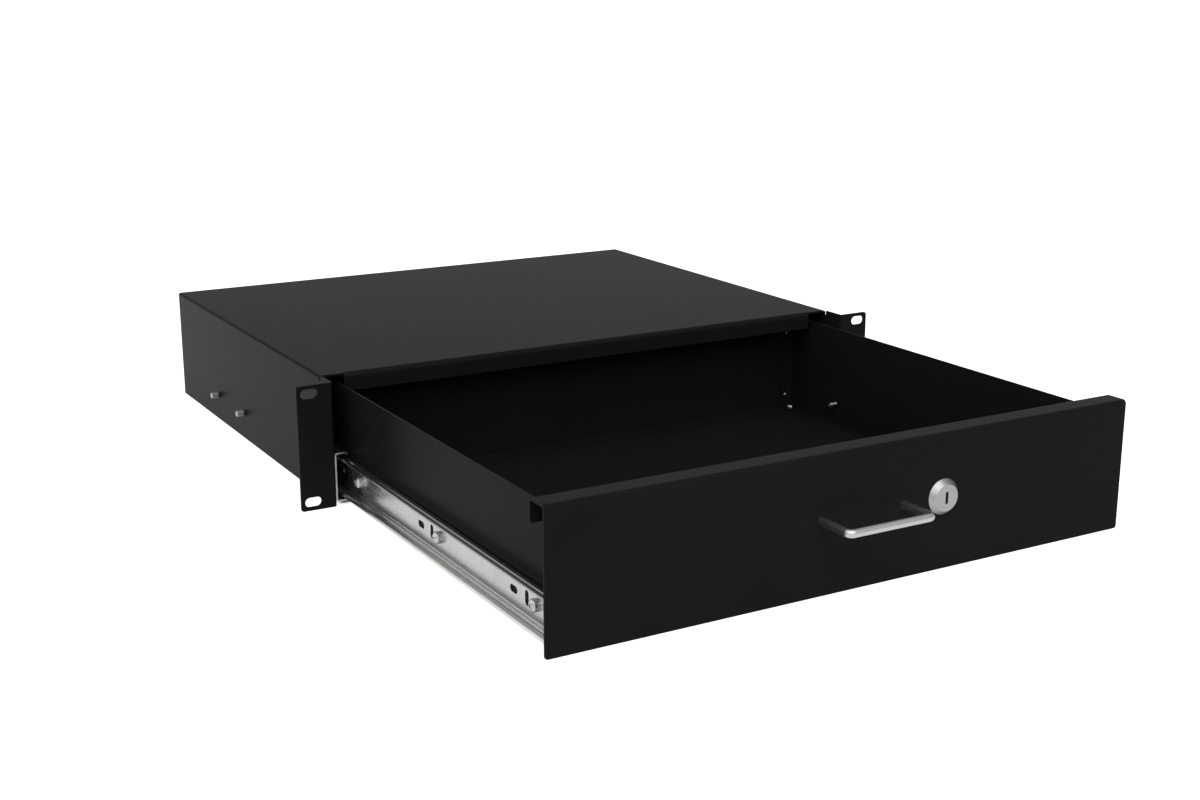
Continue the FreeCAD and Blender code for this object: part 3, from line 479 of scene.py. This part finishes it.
def cross_radius(turn: np.ndarray, reach: float, half_width: float) -> np.ndarray:
    """Radius of a cross-shaped outline at each angle.

    Between two diagonals the outline is the nearer of the arm's end, reach / |cos|, and its side,
    half_width / |sin|; the two are blended by a power mean so that the arm's corners are round.
    """
    power, least_sine = 6.0, 1e-3
    wrapped = (turn + math.pi / 4) % (math.pi / 2) - math.pi / 4
    end = reach / np.cos(wrapped)
    side = half_width / np.maximum(np.abs(np.sin(wrapped)), least_sine)
    return (end ** -power + side ** -power) ** (-1.0 / power)


def thread(turn: np.ndarray, crest: float, depth: float, ends: tuple[float, float], length: float,
           pitch: float, fewest: int = 2) -> list[Row]:
    """Rows of a helical thread.

    Its wave is a triangle over one pitch, made steeper and cut off level at the root and the crest.

    Args:
        turn: Angle of each point of a row.
        crest: Radius of the thread's crest.
        depth: How far the root lies inside the crest, or below zero for a root that lies outside it.
        ends: Heights of the first row and the last one.
        length: Length whose number of turns says how many rows there are.
        pitch: Length of one turn.
        fewest: Least number of rows.

    Returns:
        Each row's radius at each angle, and its height.
    """
    steepness, root_share = 1.6, 0.3
    rows = []
    for height in np.linspace(*ends, max(int(length / pitch * ROWS_PER_PITCH), fewest)):
        phase = (height / pitch - turn / (2.0 * math.pi)) % 1.0
        wave = np.clip(steepness * (1.0 - np.abs(2.0 * phase - 1.0)) - root_share, 0.0, 1.0)
        rows.append((crest - depth * (1 - wave), height))
    return rows


def solid_middles(node: str) -> list[Vector]:
    """Middle of the box of each separate solid in a node, in order of Y, then X, then Z.

    Points are joined through the faces that share them, and each joined group is one solid.
    """
    shape = bmesh.new()
    shape.from_mesh(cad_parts[node].data)
    bmesh.ops.remove_doubles(shape, verts=shape.verts, dist=JOINED)
    waiting = set(shape.verts)
    middles = []
    while waiting:
        group = [waiting.pop()]
        for vertex in group:
            for edge in vertex.link_edges:
                other = edge.other_vert(vertex)
                if other in waiting:
                    waiting.remove(other)
                    group.append(other)
        places = np.array([vertex.co for vertex in group])
        middles.append(Vector((places.min(0) + places.max(0)) / 2))
    shape.free()
    return sorted(middles, key=lambda middle: (round(middle.y, 4), round(middle.x, 4), middle.z))


def make_piece(name: str, mesh: bpy.types.Mesh, body: Body, slot: Slot, nodes: list[str]) -> bpy.types.Object:
    """Put a finished mesh in the scene as a piece.

    Args:
        name: Name of the piece.
        mesh: Mesh whose points are already in place.
        body: Body that it rides on.
        slot: Finish that it wears.
        nodes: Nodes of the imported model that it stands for.

    Returns:
        The piece's object.
    """
    piece = bpy.data.objects.new(name, mesh)
    bpy.context.scene.collection.objects.link(piece)
    WARDROBE.dress(piece, slot)
    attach(piece, body.value)
    if nodes:
        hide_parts(*nodes)
    LOG.info("%s rides on %s and stands for %s", name, body.value, ", ".join(nodes) or "no node")
    return piece


def skinned_piece(name: str, body: Body, slot: Slot, node: str, *skins: np.ndarray) -> bpy.types.Object:
    """Make one piece of plain skins that stands for a node."""
    surface = Surface()
    for points in skins:
        surface.skin(points)
    return make_piece(name, surface.mesh(name), body, slot, [node])


# ---------------------------------------------------------------------------------------------------------
# Sheet metal


@dataclass(frozen=True)
class SheetPiece:
    """A folded or stamped sheet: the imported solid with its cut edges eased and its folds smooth."""

    node: str
    body: Body
    slot: Slot
    edge: float = 0.22 * MM
    flat: float = math.radians(0.4)
    crease: float = math.radians(32.0)

    def build(self) -> bpy.types.Object:
        """Copy the node's mesh, join its loose triangles into flats and ease the cut edges."""
        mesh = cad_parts[self.node].data.copy()
        mesh.name = f"{self.node}_sheet"
        shape = bmesh.new()
        shape.from_mesh(mesh)
        bmesh.ops.remove_doubles(shape, verts=shape.verts, dist=JOINED)
        bmesh.ops.dissolve_limit(shape, angle_limit=self.flat, verts=shape.verts, edges=shape.edges,
                                 use_dissolve_boundaries=False)
        shape.to_mesh(mesh)
        shape.free()
        mesh.shade_smooth()
        piece = make_piece(f"{self.node}_sheet", mesh, self.body, self.slot, [self.node])
        bevel = piece.modifiers.new("eased_edges", "BEVEL")
        bevel.width = self.edge
        bevel.segments = 2
        bevel.limit_method = "ANGLE"
        bevel.angle_limit = self.crease
        bevel.miter_outer = "MITER_ARC"
        bevel.use_clamp_overlap = True
        flats = piece.modifiers.new("level_flats", "WEIGHTED_NORMAL")
        flats.mode = "FACE_AREA"
        flats.weight = 100
        return piece


# ---------------------------------------------------------------------------------------------------------
# Fasteners


@dataclass(frozen=True)
class Screw:
    """A cross-recessed machine screw, its axis pointing from the seat to the tip."""

    radius: float
    length: float
    pitch: float
    head_radius: float
    head_height: float
    recess_reach: float
    recess_half_width: float = 0.42 * MM
    recess_depth: float = 1.2 * MM
    thread_depth: float = 0.30 * MM
    dome: float = 0.35
    spokes: int = 72

    def skin(self, axis: Axis) -> tuple[np.ndarray, np.ndarray]:
        """Work out the screw from the recess's floor over the head and down the thread to the hollow tip.

        The recess's rows follow the cross outline and sink by its depth, the head's rows follow a dome that
        falls with the square of the radius, and the shank's radius adds the thread wave to its root.

        Args:
            axis: Axis from the seat, with the recess's first arm across it.

        Returns:
            Rows of loops, and each row's mark: 1 in the recess, the thread and the tip's hollow, which the
            finish darkens as painted shade, else 0.
        """
        turn = angles(self.spokes)
        top = -self.head_height
        outline = cross_radius(turn, self.recess_reach, self.recess_half_width)
        fall = self.dome * self.head_height / self.head_radius ** 2
        recess = [(outline * share, top + depth * self.recess_depth)
                  for share, depth in ((0.0, 1.0), (0.55, 1.0), (0.80, 0.8))]
        rim = top + fall * outline ** 2
        head = [(outline * 0.96, rim + 0.10 * MM), (outline, rim + 0.02 * MM), (outline * 1.04, rim)]
        for share in (0.35, 0.7, 1.0):
            radius = outline * 1.04 * (1 - share) + (self.head_radius - 0.25 * MM) * share
            head.append((radius, top + fall * radius ** 2))
        shoulder = top + self.dome * self.head_height
        head += [
            (self.head_radius - 0.07 * MM, shoulder + 0.10 * MM),
            (self.head_radius, shoulder + 0.35 * MM),
            (self.head_radius, -0.12 * MM),
            (self.head_radius - 0.12 * MM, 0.0),
            (self.radius, 0.0),
        ]
        ends = (0.05 * MM, self.length - 0.35 * MM)
        shank = thread(turn, self.radius, self.thread_depth, ends, self.length, self.pitch, fewest=16)
        tip = [
            (self.radius - 0.32 * MM, self.length - 0.12 * MM),
            (self.radius - 0.52 * MM, self.length),
            (self.radius - 0.75 * MM, self.length - 0.10 * MM),
        ]
        hollow = [(self.radius * share, self.length - self.radius * depth)
                  for share, depth in ((0.45, 0.65), (0.0, 0.70))]
        blocks = (recess, head, shank, tip, hollow)
        # Painted shade: recess, thread and tip hollow are marked so that their colour is darkened.
        marks = np.repeat([1.0, 0.0, 1.0, 0.0, 1.0], [len(block) for block in blocks])
        return loops(axis, turn, sum(blocks, [])), marks


@dataclass(frozen=True)
class ScrewRow:
    """Several equal screws that stand for one node."""

    node: str
    body: Body
    screw: Screw
    seats: list[Triple]
    along: Triple
    first_turn: float = math.radians(23.0)
    next_turn: float = math.radians(37.0)

    def build(self) -> bpy.types.Object:
        """Build the screws as one piece, each turned further than the one before."""
        surface = Surface()
        for place, seat in enumerate(self.seats):
            axis = level_axis(seat, self.along)
            turn = self.first_turn + self.next_turn * place
            third = axis.along.cross(axis.across)
            across = axis.across * math.cos(turn) + third * math.sin(turn)
            surface.skin(*self.screw.skin(Axis(axis.point, axis.along, across)))
        mesh = surface.mesh(f"{self.node}_turned")
        return make_piece(f"{self.node}_turned", mesh, self.body, Slot.FASTENER_ZINC, [self.node])


def outward_screws(node: str, body: Body, radius: float, pitch: float, head_height: float,
                   **details: float) -> None:
    """Build a node's screws, whose tips point out of the drawer's front and whose heads end its box."""
    low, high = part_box(node)
    seat = high.y - head_height
    screw = Screw(radius, seat - low.y, pitch, (high.z - low.z) / 2, head_height, **details)
    seats = [(middle.x, seat, middle.z) for middle in solid_middles(node)]
    ScrewRow(node, body, screw, seats, (0.0, -1.0, 0.0)).build()


@dataclass(frozen=True)
class HexNut:
    """A hexagon nut with chamfered corners, a threaded hole and, if it has one, a round flange."""

    across_flats: float
    height: float
    hole: float
    pitch: float
    flange_radius: float = 0.0
    flange_height: float = 0.0
    corner_share: float = 0.97
    corner_slope: float = math.radians(30.0)
    hole_lead: float = 0.35 * MM
    thread_depth: float = 0.2 * MM
    thread_inset: float = 0.25 * MM
    spokes: int = 96

    def skin(self, axis: Axis) -> np.ndarray:
        """Rows of loops up the outside and back down the threaded hole, the last row meeting the first.

        A loop of the outside has the hexagon's radius, half the flats over the cosine of the angle from the
        nearest flat's middle, held within a cone near each end.
        """
        turn = angles(self.spokes)
        sector = math.pi / 3
        flat = self.across_flats / 2
        hexagon = flat / np.cos((turn + sector / 2) % sector - sector / 2)
        rows = []
        start = 0.0
        if self.flange_radius:
            rows += [(self.flange_radius - 0.1 * MM, 0.0), (self.flange_radius, 0.1 * MM),
                     (self.flange_radius, self.flange_height * 0.6)]
            start = self.flange_height
        slope = 1.0 / math.tan(self.corner_slope)
        for share in np.linspace(0.0, 1.0, 14):
            height = start + (self.height - start) * share
            upper = flat * self.corner_share + (self.height - height) * slope
            lower = np.inf if self.flange_radius else flat * self.corner_share + height * slope
            rows.append((np.minimum(hexagon, min(upper, lower)), height))
        mouth = self.hole + self.hole_lead
        rows.append((mouth, self.height))
        ends = (self.height - self.thread_inset, self.thread_inset)
        rows += thread(turn, self.hole, -self.thread_depth, ends, self.height, self.pitch, fewest=12)
        rows += [(mouth, 0.0), rows[0]]
        return loops(axis, turn, rows)


# ---------------------------------------------------------------------------------------------------------
# Sub-assemblies


@dataclass(frozen=True)
class Case:
    """Folded shell with its rack ears, and the panel that closes its back."""

    def build(self) -> None:
        """Build and dress both sheets."""
        SheetPiece("case_shell", Body.CASE, Slot.CASE_COAT).build()
        SheetPiece("rear_panel", Body.CASE, Slot.CASE_COAT).build()


@dataclass(frozen=True)
class BallSlide:
    """One side's slide: two rails, a cage with its balls, and the screws of both rails."""

    side: Side
    ball_radius: float = 2.38 * MM
    screw_length: float = 8.0 * MM
    case_screw: Triple = (2.5 * MM, 0.8 * MM, 0.9 * MM)
    drawer_screw: Triple = (2.0 * MM, 0.7 * MM, 4.5 * MM)
    recess_reach: float = 2.1 * MM
    recess_depth: float = 0.9 * MM
    rail_edge: float = 0.12 * MM
    ball_rows: int = 25
    ball_spokes: int = 36

    def build(self) -> None:
        """Build and dress the slide."""
        name = self.side.value
        SheetPiece(f"{name}_case_rail", Body.CASE, Slot.RAIL_ZINC, self.rail_edge).build()
        SheetPiece(f"{name}_drawer_rail", Body.DRAWER, Slot.RAIL_ZINC, self.rail_edge).build()
        SheetPiece(f"{name}_ball_cage", self.side.cage, Slot.RAIL_ZINC, self.rail_edge / 2).build()
        self.build_balls()
        self.build_screws(f"{name}_case_rail_screws", Body.CASE, self.side.sign, self.case_screw)
        self.build_screws(f"{name}_drawer_rail_screws", Body.DRAWER, -self.side.sign, self.drawer_screw)

    def build_balls(self) -> None:
        """Build the balls of both rows, each a sphere of latitude and longitude loops."""
        node = f"{self.side.value}_balls"
        slope = np.linspace(0.0, math.pi, self.ball_rows)
        profile = np.stack([self.ball_radius * np.sin(slope), -self.ball_radius * np.cos(slope)], axis=-1)
        skins = [loops(level_axis(middle, (0.0, 1.0, 0.0)), angles(self.ball_spokes), profile)
                 for middle in solid_middles(node)]
        skinned_piece(f"{node}_polished", self.side.cage, Slot.BALL, node, *skins)

    def build_screws(self, node: str, body: Body, way: int, size: Triple) -> None:
        """Build one rail's three screws.

        Args:
            node: Node that they stand for.
            body: Body that they ride on.
            way: Sign of X from head to tip.
            size: Shank's radius, thread's pitch and head's height.
        """
        shank, pitch, head_height = size
        low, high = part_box(node)
        seat = low.x + head_height if way > 0 else high.x - head_height
        level, radius = (low.z + high.z) / 2, (high.z - low.z) / 2
        screw = Screw(shank, self.screw_length, pitch, radius, head_height, self.recess_reach,
                      recess_depth=min(self.recess_depth, head_height * 0.7))
        seats = [(seat, middle.y, level) for middle in solid_middles(node)]
        ScrewRow(node, body, screw, seats, (float(way), 0.0, 0.0)).build()


@dataclass(frozen=True)
class Tray:
    """The drawer's box and the rivets at its corners."""

    rivet_radius: float = 1.7 * MM
    rivet_height: float = 0.7 * MM
    shank_radius: float = 1.2 * MM
    mandrel_radius: float = 0.5 * MM
    rivet_grip: float = 2.4 * MM
    rivet_spokes: int = 32

    def build(self) -> None:
        """Build and dress the tray and its rivets."""
        SheetPiece("drawer_tray", Body.DRAWER, Slot.CASE_COAT).build()
        self.build_rivets()

    def build_rivets(self) -> None:
        """Build domed rivets with the broken mandrel's end showing in the middle."""
        low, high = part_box("tray_rivets")
        middle = (low.y + high.y) / 2
        skins = []
        for place in solid_middles("tray_rivets"):
            outer, inward = (high.y, -1.0) if place.y > middle else (low.y, 1.0)
            depth = self.rivet_grip
            seat = outer + inward * depth
            profile = rounded_profile([
                (0.0, self.rivet_height * 0.55, 0.0),
                (self.mandrel_radius, self.rivet_height * 0.55, 0.1 * MM),
                (self.mandrel_radius * 1.15, self.rivet_height * 0.40, 0.05 * MM),
                (self.mandrel_radius * 1.35, self.rivet_height * 0.98, 0.1 * MM),
                (self.rivet_radius * 0.78, self.rivet_height * 0.72, 0.4 * MM),
                (self.rivet_radius, 0.12 * MM, 0.1 * MM),
                (self.rivet_radius, 0.0, 0.0),
                (self.shank_radius, 0.0, 0.0),
                (self.shank_radius, -depth + 0.1 * MM, 0.1 * MM),
                (self.shank_radius - 0.1 * MM, -depth, 0.0),
                (0.0, -depth, 0.0),
            ])
            axis = level_axis((place.x, seat, place.z), (0.0, inward, 0.0))
            skins.append(loops(axis, angles(self.rivet_spokes), profile))
        skinned_piece("tray_rivets_domed", Body.DRAWER, Slot.RIVET, "tray_rivets", *skins)


@dataclass(frozen=True)
class FrontPanel:
    """The drawer's front, the nuts on its studs, its handle and the handle's screws."""

    nut: HexNut = HexNut(7.0 * MM, 3.2 * MM, 2.05 * MM, 0.7 * MM, 4.8 * MM, 0.8 * MM)
    rod_radius: float = 2.65 * MM
    bend_radius: float = 3.0 * MM
    rod_spokes: int = 40
    screw_radius: float = 1.5 * MM
    screw_pitch: float = 0.5 * MM
    screw_head_height: float = 1.8 * MM
    recess_reach: float = 1.5 * MM

    def build(self) -> None:
        """Build and dress the panel and what it carries."""
        SheetPiece("front_panel", Body.DRAWER, Slot.PANEL_COAT).build()
        self.build_nuts()
        self.build_handle()
        self.build_handle_screws()

    def build_nuts(self) -> None:
        """Build the flanged nuts."""
        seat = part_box("panel_nuts")[0].y
        skins = [self.nut.skin(level_axis((place.x, seat, place.z), (0.0, 1.0, 0.0)))
                 for place in solid_middles("panel_nuts")]
        skinned_piece("panel_nuts_turned", Body.DRAWER, Slot.FASTENER_ZINC, "panel_nuts", *skins)

    def build_handle(self) -> None:
        """Build the bow as a circle carried along a path of two legs, two bends and a bar.

        The path's point at each step is a leg's straight run, an arc of the bend radius about its centre, or
        the bar's straight run, and the circle lies across the path's direction there.
        """
        low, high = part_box("handle")
        left, right = low.x + self.rod_radius, high.x - self.rod_radius
        front, foot = low.y + self.rod_radius, high.y
        level = (low.z + high.z) / 2
        bend = self.bend_radius
        arc = np.linspace(0.0, math.pi / 2, 13)
        leg = np.linspace(foot, front + bend, 10)
        first = np.stack([np.full_like(leg, left), leg], axis=-1)
        turn_in = np.stack([left + bend - bend * np.cos(arc), front + bend - bend * np.sin(arc)], axis=-1)
        half = np.concatenate([first, turn_in[1:]])
        other = half[::-1] * (-1.0, 1.0) + (left + right, 0.0)
        bar = np.linspace(half[-1], other[0], 14)[1:-1]
        path = np.concatenate([half, bar, other])
        heading = np.gradient(path, axis=0)
        heading /= np.linalg.norm(heading, axis=1, keepdims=True)
        normal = np.stack([heading[:, 1], -heading[:, 0]], axis=-1)
        turn = angles(self.rod_spokes)
        x = path[:, :1] + normal[:, :1] * self.rod_radius * np.cos(turn)
        y = path[:, 1:] + normal[:, 1:] * self.rod_radius * np.cos(turn)
        z = np.broadcast_to(level + self.rod_radius * np.sin(turn), x.shape)
        feet = [np.broadcast_to((*point, level), (1, len(turn), 3)) for point in path[[0, -1]]]
        skin = np.concatenate([feet[0], np.stack([x, y, z], axis=-1), feet[1]])
        skinned_piece("handle_bow", Body.DRAWER, Slot.HANDLE, "handle", skin)

    def build_handle_screws(self) -> None:
        """Build the two screws that hold the bow from inside."""
        outward_screws("handle_screws", Body.DRAWER, self.screw_radius, self.screw_pitch,
                       self.screw_head_height, recess_reach=self.recess_reach,
                       recess_half_width=0.32 * MM, recess_depth=1.1 * MM, thread_depth=0.22 * MM)


@dataclass(frozen=True)
class CamLock:
    """Cam lock: a conical head and flatted barrel, its nut, the turning core, the cam and its screw."""

    face_radius: float = 8.5 * MM
    shoulder_radius: float = 11.2 * MM
    rim_height: float = 1.0 * MM
    head_height: float = 4.2 * MM
    barrel_radius: float = 9.0 * MM
    barrel_flat: float = 8.0 * MM
    thread_pitch: float = 1.0 * MM
    thread_depth: float = 0.45 * MM
    core_radius: float = 6.2 * MM
    bore_radius: float = 6.25 * MM
    key_width: float = 2.1 * MM
    key_height: float = 7.9 * MM
    key_depth: float = 9.0 * MM
    key_edge: float = 0.18 * MM
    square_half_width: float = 3.5 * MM
    tail_bore_radius: float = 2.55 * MM
    tail_bore_depth: float = 8.0 * MM
    cam_edge: float = 0.3 * MM
    screw_radius: float = 2.5 * MM
    screw_pitch: float = 0.8 * MM
    screw_head_height: float = 2.2 * MM
    recess_reach: float = 2.6 * MM
    spokes: int = 144

    def build(self) -> None:
        """Build and dress the lock."""
        self.build_housing()
        self.build_nut()
        self.build_core()
        SheetPiece("lock_cam", Body.LOCK_CORE, Slot.RAIL_ZINC, self.cam_edge).build()
        self.build_cam_screw()

    def axis(self, place: float) -> Axis:
        """The lock's axis, pointing out of the drawer's front from a place along Y."""
        low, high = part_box("lock_housing")
        return level_axis(((low.x + high.x) / 2, place, (low.z + high.z) / 2), (0.0, -1.0, 0.0))

    def panel_front(self) -> float:
        """Place along Y of the drawer's front face."""
        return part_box("front_panel")[0].y

    def build_housing(self) -> None:
        """Build the bore and the head from a profile, and the barrel as threaded loops cut by two flats."""
        low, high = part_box("lock_housing")
        rim_radius = (high.z - low.z) / 2
        length = high.y - self.panel_front()
        bore = self.bore_radius
        profile = rounded_profile([
            (bore, -length, 0.0),
            (bore, self.head_height - 0.05 * MM, 0.0),
            (bore + 0.05 * MM, self.head_height, 0.02 * MM),
            (self.face_radius, self.head_height, 0.30 * MM),
            (self.shoulder_radius, self.rim_height, 0.25 * MM),
            (rim_radius, self.rim_height * 0.7, 0.25 * MM),
            (rim_radius, 0.0, 0.0),
            (self.barrel_radius, 0.0, 0.0),
        ], steps=6)
        turn = angles(self.spokes)
        flats = self.barrel_flat / np.maximum(np.abs(np.sin(turn)), LEAST_SINE)
        ends = (-0.2 * MM, -length + 0.6 * MM)
        barrel = thread(turn, self.barrel_radius, self.thread_depth, ends, length, self.thread_pitch)
        barrel.append((self.barrel_radius - 0.6 * MM, -length))
        cut = [(np.minimum(radius, flats), height) for radius, height in barrel]
        skin = loops(self.axis(self.panel_front()), turn, [*profile, *cut, (bore, -length)])
        skinned_piece("lock_housing_turned", Body.DRAWER, Slot.LOCK, "lock_housing", skin)

    def build_nut(self) -> None:
        """Build the large thin nut on the barrel."""
        low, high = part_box("lock_nut")
        nut = HexNut(high.z - low.z, high.y - low.y, self.barrel_radius + 0.05 * MM, self.thread_pitch)
        axis = level_axis(((low.x + high.x) / 2, low.y, (low.z + high.z) / 2), (0.0, 1.0, 0.0))
        skinned_piece("lock_nut_turned", Body.DRAWER, Slot.FASTENER_ZINC, "lock_nut", nut.skin(axis))

    def slot_radius(self, turn: np.ndarray, half_width: float, half_height: float) -> np.ndarray:
        """Radius of the keyway's round-ended outline at each angle from its long direction.

        Near the ends the outline is the circle of the half width about the end's centre, and elsewhere it is
        the straight side, half_width / |sin|.
        """
        reach = half_height - half_width
        sine, cosine = np.sin(turn), np.abs(np.cos(turn))
        ends = reach * cosine + np.sqrt(np.maximum(half_width ** 2 - (reach * sine) ** 2, 0.0))
        sides = half_width / np.maximum(np.abs(sine), LEAST_SINE)
        on_side = sides * cosine < reach
        return np.where(on_side, sides, ends)

    def build_core(self) -> None:
        """Build the core from the keyway's floor out over its face and back to the square tail."""
        face = self.head_height
        cam_seat = self.panel_front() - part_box("lock_cam")[0].y
        tail = self.panel_front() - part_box("lock_core")[1].y
        turn = angles(self.spokes)
        keyway = self.slot_radius(turn, self.key_width / 2, self.key_height / 2)
        rim = self.slot_radius(turn, self.key_width / 2 + self.key_edge, self.key_height / 2 + self.key_edge)
        square = self.square_half_width / np.maximum(np.abs(np.cos(turn)), np.abs(np.sin(turn)))
        rows = [
            (0.0, face - self.key_depth),
            (keyway * 0.5, face - self.key_depth),
            (keyway, face - self.key_depth),
            (keyway, face - 1.0 * MM),
            (keyway, face - 0.16 * MM),
            (rim, face),
        ]
        outer = self.core_radius - 0.05 * MM
        rows += [(rim * (1 - share) + outer * share, face) for share in (0.3, 0.6, 0.85, 1.0)]
        rows += [
            (self.core_radius, face - 0.05 * MM),
            (self.core_radius, 0.0),
            (self.core_radius, cam_seat),
            (square, cam_seat),
            (square, tail + 0.15 * MM),
            (square * 0.97, tail),
            (self.tail_bore_radius, tail),
            (self.tail_bore_radius, tail + self.tail_bore_depth),
            (0.0, tail + self.tail_bore_depth + 1.0 * MM),
        ]
        skin = loops(self.axis(self.panel_front()), turn, rows)
        skinned_piece("lock_core_cut", Body.LOCK_CORE, Slot.LOCK, "lock_core", skin)

    def build_cam_screw(self) -> None:
        """Build the screw that holds the cam."""
        outward_screws("cam_screw", Body.LOCK_CORE, self.screw_radius, self.screw_pitch,
                       self.screw_head_height, recess_reach=self.recess_reach,
                       recess_half_width=0.5 * MM, recess_depth=1.5 * MM)


# ---------------------------------------------------------------------------------------------------------
# Studio


@dataclass(frozen=True)
class Lamp:
    """A wide, distant soft lamp, as even on the whole floor as on the object."""

    name: str
    azimuth: float
    elevation: float
    spread: float
    level: float
    distance: float = 3.0

    def build(self) -> None:
        """Hang the lamp; its level is the brightness that it gives a white face turned to it."""
        light = bpy.data.lights.new(self.name, "SUN")
        light.energy = self.level * math.pi
        light.angle = math.radians(self.spread)
        lamp = bpy.data.objects.new(self.name, light)
        bpy.context.scene.collection.objects.link(lamp)
        azimuth, elevation = math.radians(self.azimuth), math.radians(self.elevation)
        towards = Vector((math.sin(azimuth) * math.cos(elevation), math.cos(azimuth) * math.cos(elevation),
                          math.sin(elevation)))
        lamp.location = towards * self.distance
        lamp.rotation_euler = towards.to_track_quat("Z", "Y").to_euler()


@dataclass(frozen=True)
class Studio:
    """White floor, plain grey surroundings, three soft lamps and the camera."""

    camera_place: Triple = (-0.6040, -1.0350, 0.32465)
    azimuth: float = math.radians(-30.02)
    elevation: float = math.radians(15.05)
    lens: float = 50.0
    sensor: float = 36.0
    farthest_seen: float = 300.0
    floor_gap: float = 0.1 * MM
    floor_size: float = 200.0
    floor_albedo: float = 0.75
    seen_fill: float = 0.88
    mirrored_fill: float = 0.42
    shaded_inset: float = 7.0 * MM
    shaded_fade: float = 5.0 * MM
    world_level: float = 0.28
    mirrored_world: float = 0.13
    lamps: tuple[Lamp, ...] = (
        Lamp("key_lamp", -130.0, 50.0, 80.0, 0.37),
        Lamp("front_lamp", 180.0, 45.0, 60.0, 0.23),
        Lamp("side_lamp", -49.0, 9.0, 44.0, 0.14),
    )

    def build(self) -> None:
        """Build the whole studio."""
        self.build_floor()
        self.build_world()
        for lamp in self.lamps:
            lamp.build()
        self.build_camera()
        bpy.context.scene.view_settings.view_transform = "Standard"

    def build_floor(self) -> None:
        """Lay the floor, white to the camera but for the object's soft shadow and a painted shadow under its
        case.
        """
        half = self.floor_size / 2
        height = CAD_BOX[0][2] - self.floor_gap
        corners = [(-half, -half, height), (half, -half, height), (half, half, height), (-half, half, height)]
        mesh = bpy.data.meshes.new("studio_floor")
        mesh.from_pydata(corners, [], [(0, 1, 2, 3)])
        floor = bpy.data.objects.new("studio_floor", mesh)
        bpy.context.scene.collection.objects.link(floor)
        graph = NodeGraph("studio_floor")
        paint = graph.add("BsdfDiffuse", Color=(self.floor_albedo,) * 3 + (1.0,))
        path = graph.add("LightPath").outputs
        mirrored = graph.sum(path["Is Glossy Ray"], "MULTIPLY", self.mirrored_fill)
        seen = graph.sum(path["Is Camera Ray"], "MULTIPLY_ADD", self.seen_fill, mirrored)
        # Painted shadow: the glow fades out under the case's inset outline, so the floor there stays dark.
        level = graph.sum(seen, "MULTIPLY", self.painted_shadow_fade(graph))
        glow = graph.add("Emission", Color=(1.0, 1.0, 1.0, 1.0), Strength=level)
        lit = graph.add("AddShader")
        graph.links.new(paint.outputs[0], lit.inputs[0])
        graph.links.new(glow.outputs[0], lit.inputs[1])
        graph.links.new(lit.outputs[0], graph.output.inputs["Surface"])
        graph.nodes.remove(graph.shader)
        mesh.materials.append(graph.material)

    def painted_shadow_fade(self, graph: NodeGraph) -> bpy.types.NodeSocket:
        """Mark the floor that no case stands over, where the glow is kept; under the case the glow is cut off
        as a painted shadow.

        The value is the distance outside the case's inset outline, max(|x| - a, |y - b| - c), spread from 0
        at the outline to 1 where the fade ends.

        Args:
            graph: The floor's shader nodes.

        Returns:
            The value from 0 under the case to 1 away from it.
        """
        half_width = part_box("rear_panel")[1].x
        case_low, case_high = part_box("case_shell")
        case_middle, half_depth = (case_high.y + case_low.y) / 2, (case_high.y - case_low.y) / 2
        outline = ((0.0, half_width - self.shaded_inset), (case_middle, half_depth - self.shaded_inset))
        place = graph.add("SeparateXYZ", Vector=graph.place)
        reach = graph.add("Math", operation="MAXIMUM")
        for socket, name, (middle, half) in zip(reach.inputs, ("X", "Y"), outline):
            offset = graph.sum(place.outputs[name], "SUBTRACT", middle)
            graph.links.new(graph.sum(graph.sum(offset, "ABSOLUTE"), "SUBTRACT", half), socket)
        spread = graph.add("MapRange", Value=reach.outputs[0])
        spread.inputs["From Max"].default_value = self.shaded_fade
        return spread.outputs["Result"]

    def build_world(self) -> None:
        """Surround the scene with an even grey, which the camera sees as white."""
        world = bpy.data.worlds.new("studio_world")
        bpy.context.scene.world = world
        world.use_nodes = True
        nodes, links = world.node_tree.nodes, world.node_tree.links
        background = next(node for node in nodes if node.type == "BACKGROUND")
        background.inputs["Color"].default_value = (1.0, 1.0, 1.0, 1.0)
        path = nodes.new("ShaderNodeLightPath").outputs
        lit, seen = nodes.new("ShaderNodeMath"), nodes.new("ShaderNodeMath")
        for node, ray, extra in ((lit, "Is Glossy Ray", self.mirrored_world),
                                 (seen, "Is Camera Ray", 1.0 - self.world_level)):
            node.operation = "MULTIPLY_ADD"
            links.new(path[ray], node.inputs[0])
            node.inputs[1].default_value = extra
        lit.inputs[2].default_value = self.world_level
        links.new(lit.outputs[0], seen.inputs[2])
        links.new(seen.outputs[0], background.inputs["Strength"])

    def build_camera(self) -> None:
        """Set up the camera at the viewing angle."""
        data = bpy.data.cameras.new("viewpoint")
        data.lens = self.lens
        data.sensor_width = self.sensor
        data.clip_end = self.farthest_seen
        camera = bpy.data.objects.new("viewpoint", data)
        bpy.context.scene.collection.objects.link(camera)
        camera.location = self.camera_place
        camera.rotation_euler = Euler((math.pi / 2 - self.elevation, 0.0, self.azimuth))
        bpy.context.scene.camera = camera


def main() -> None:
    """Build every sub-assembly in order, then the studio."""
    logging.basicConfig(level=logging.INFO, format="%(message)s")
    parts = [Case(), BallSlide(Side.LEFT), BallSlide(Side.RIGHT), Tray(), FrontPanel(), CamLock(), Studio()]
    for part in parts:
        LOG.info("building %s", type(part).__name__)
        part.build()


if __name__ == "__main__":
    main()
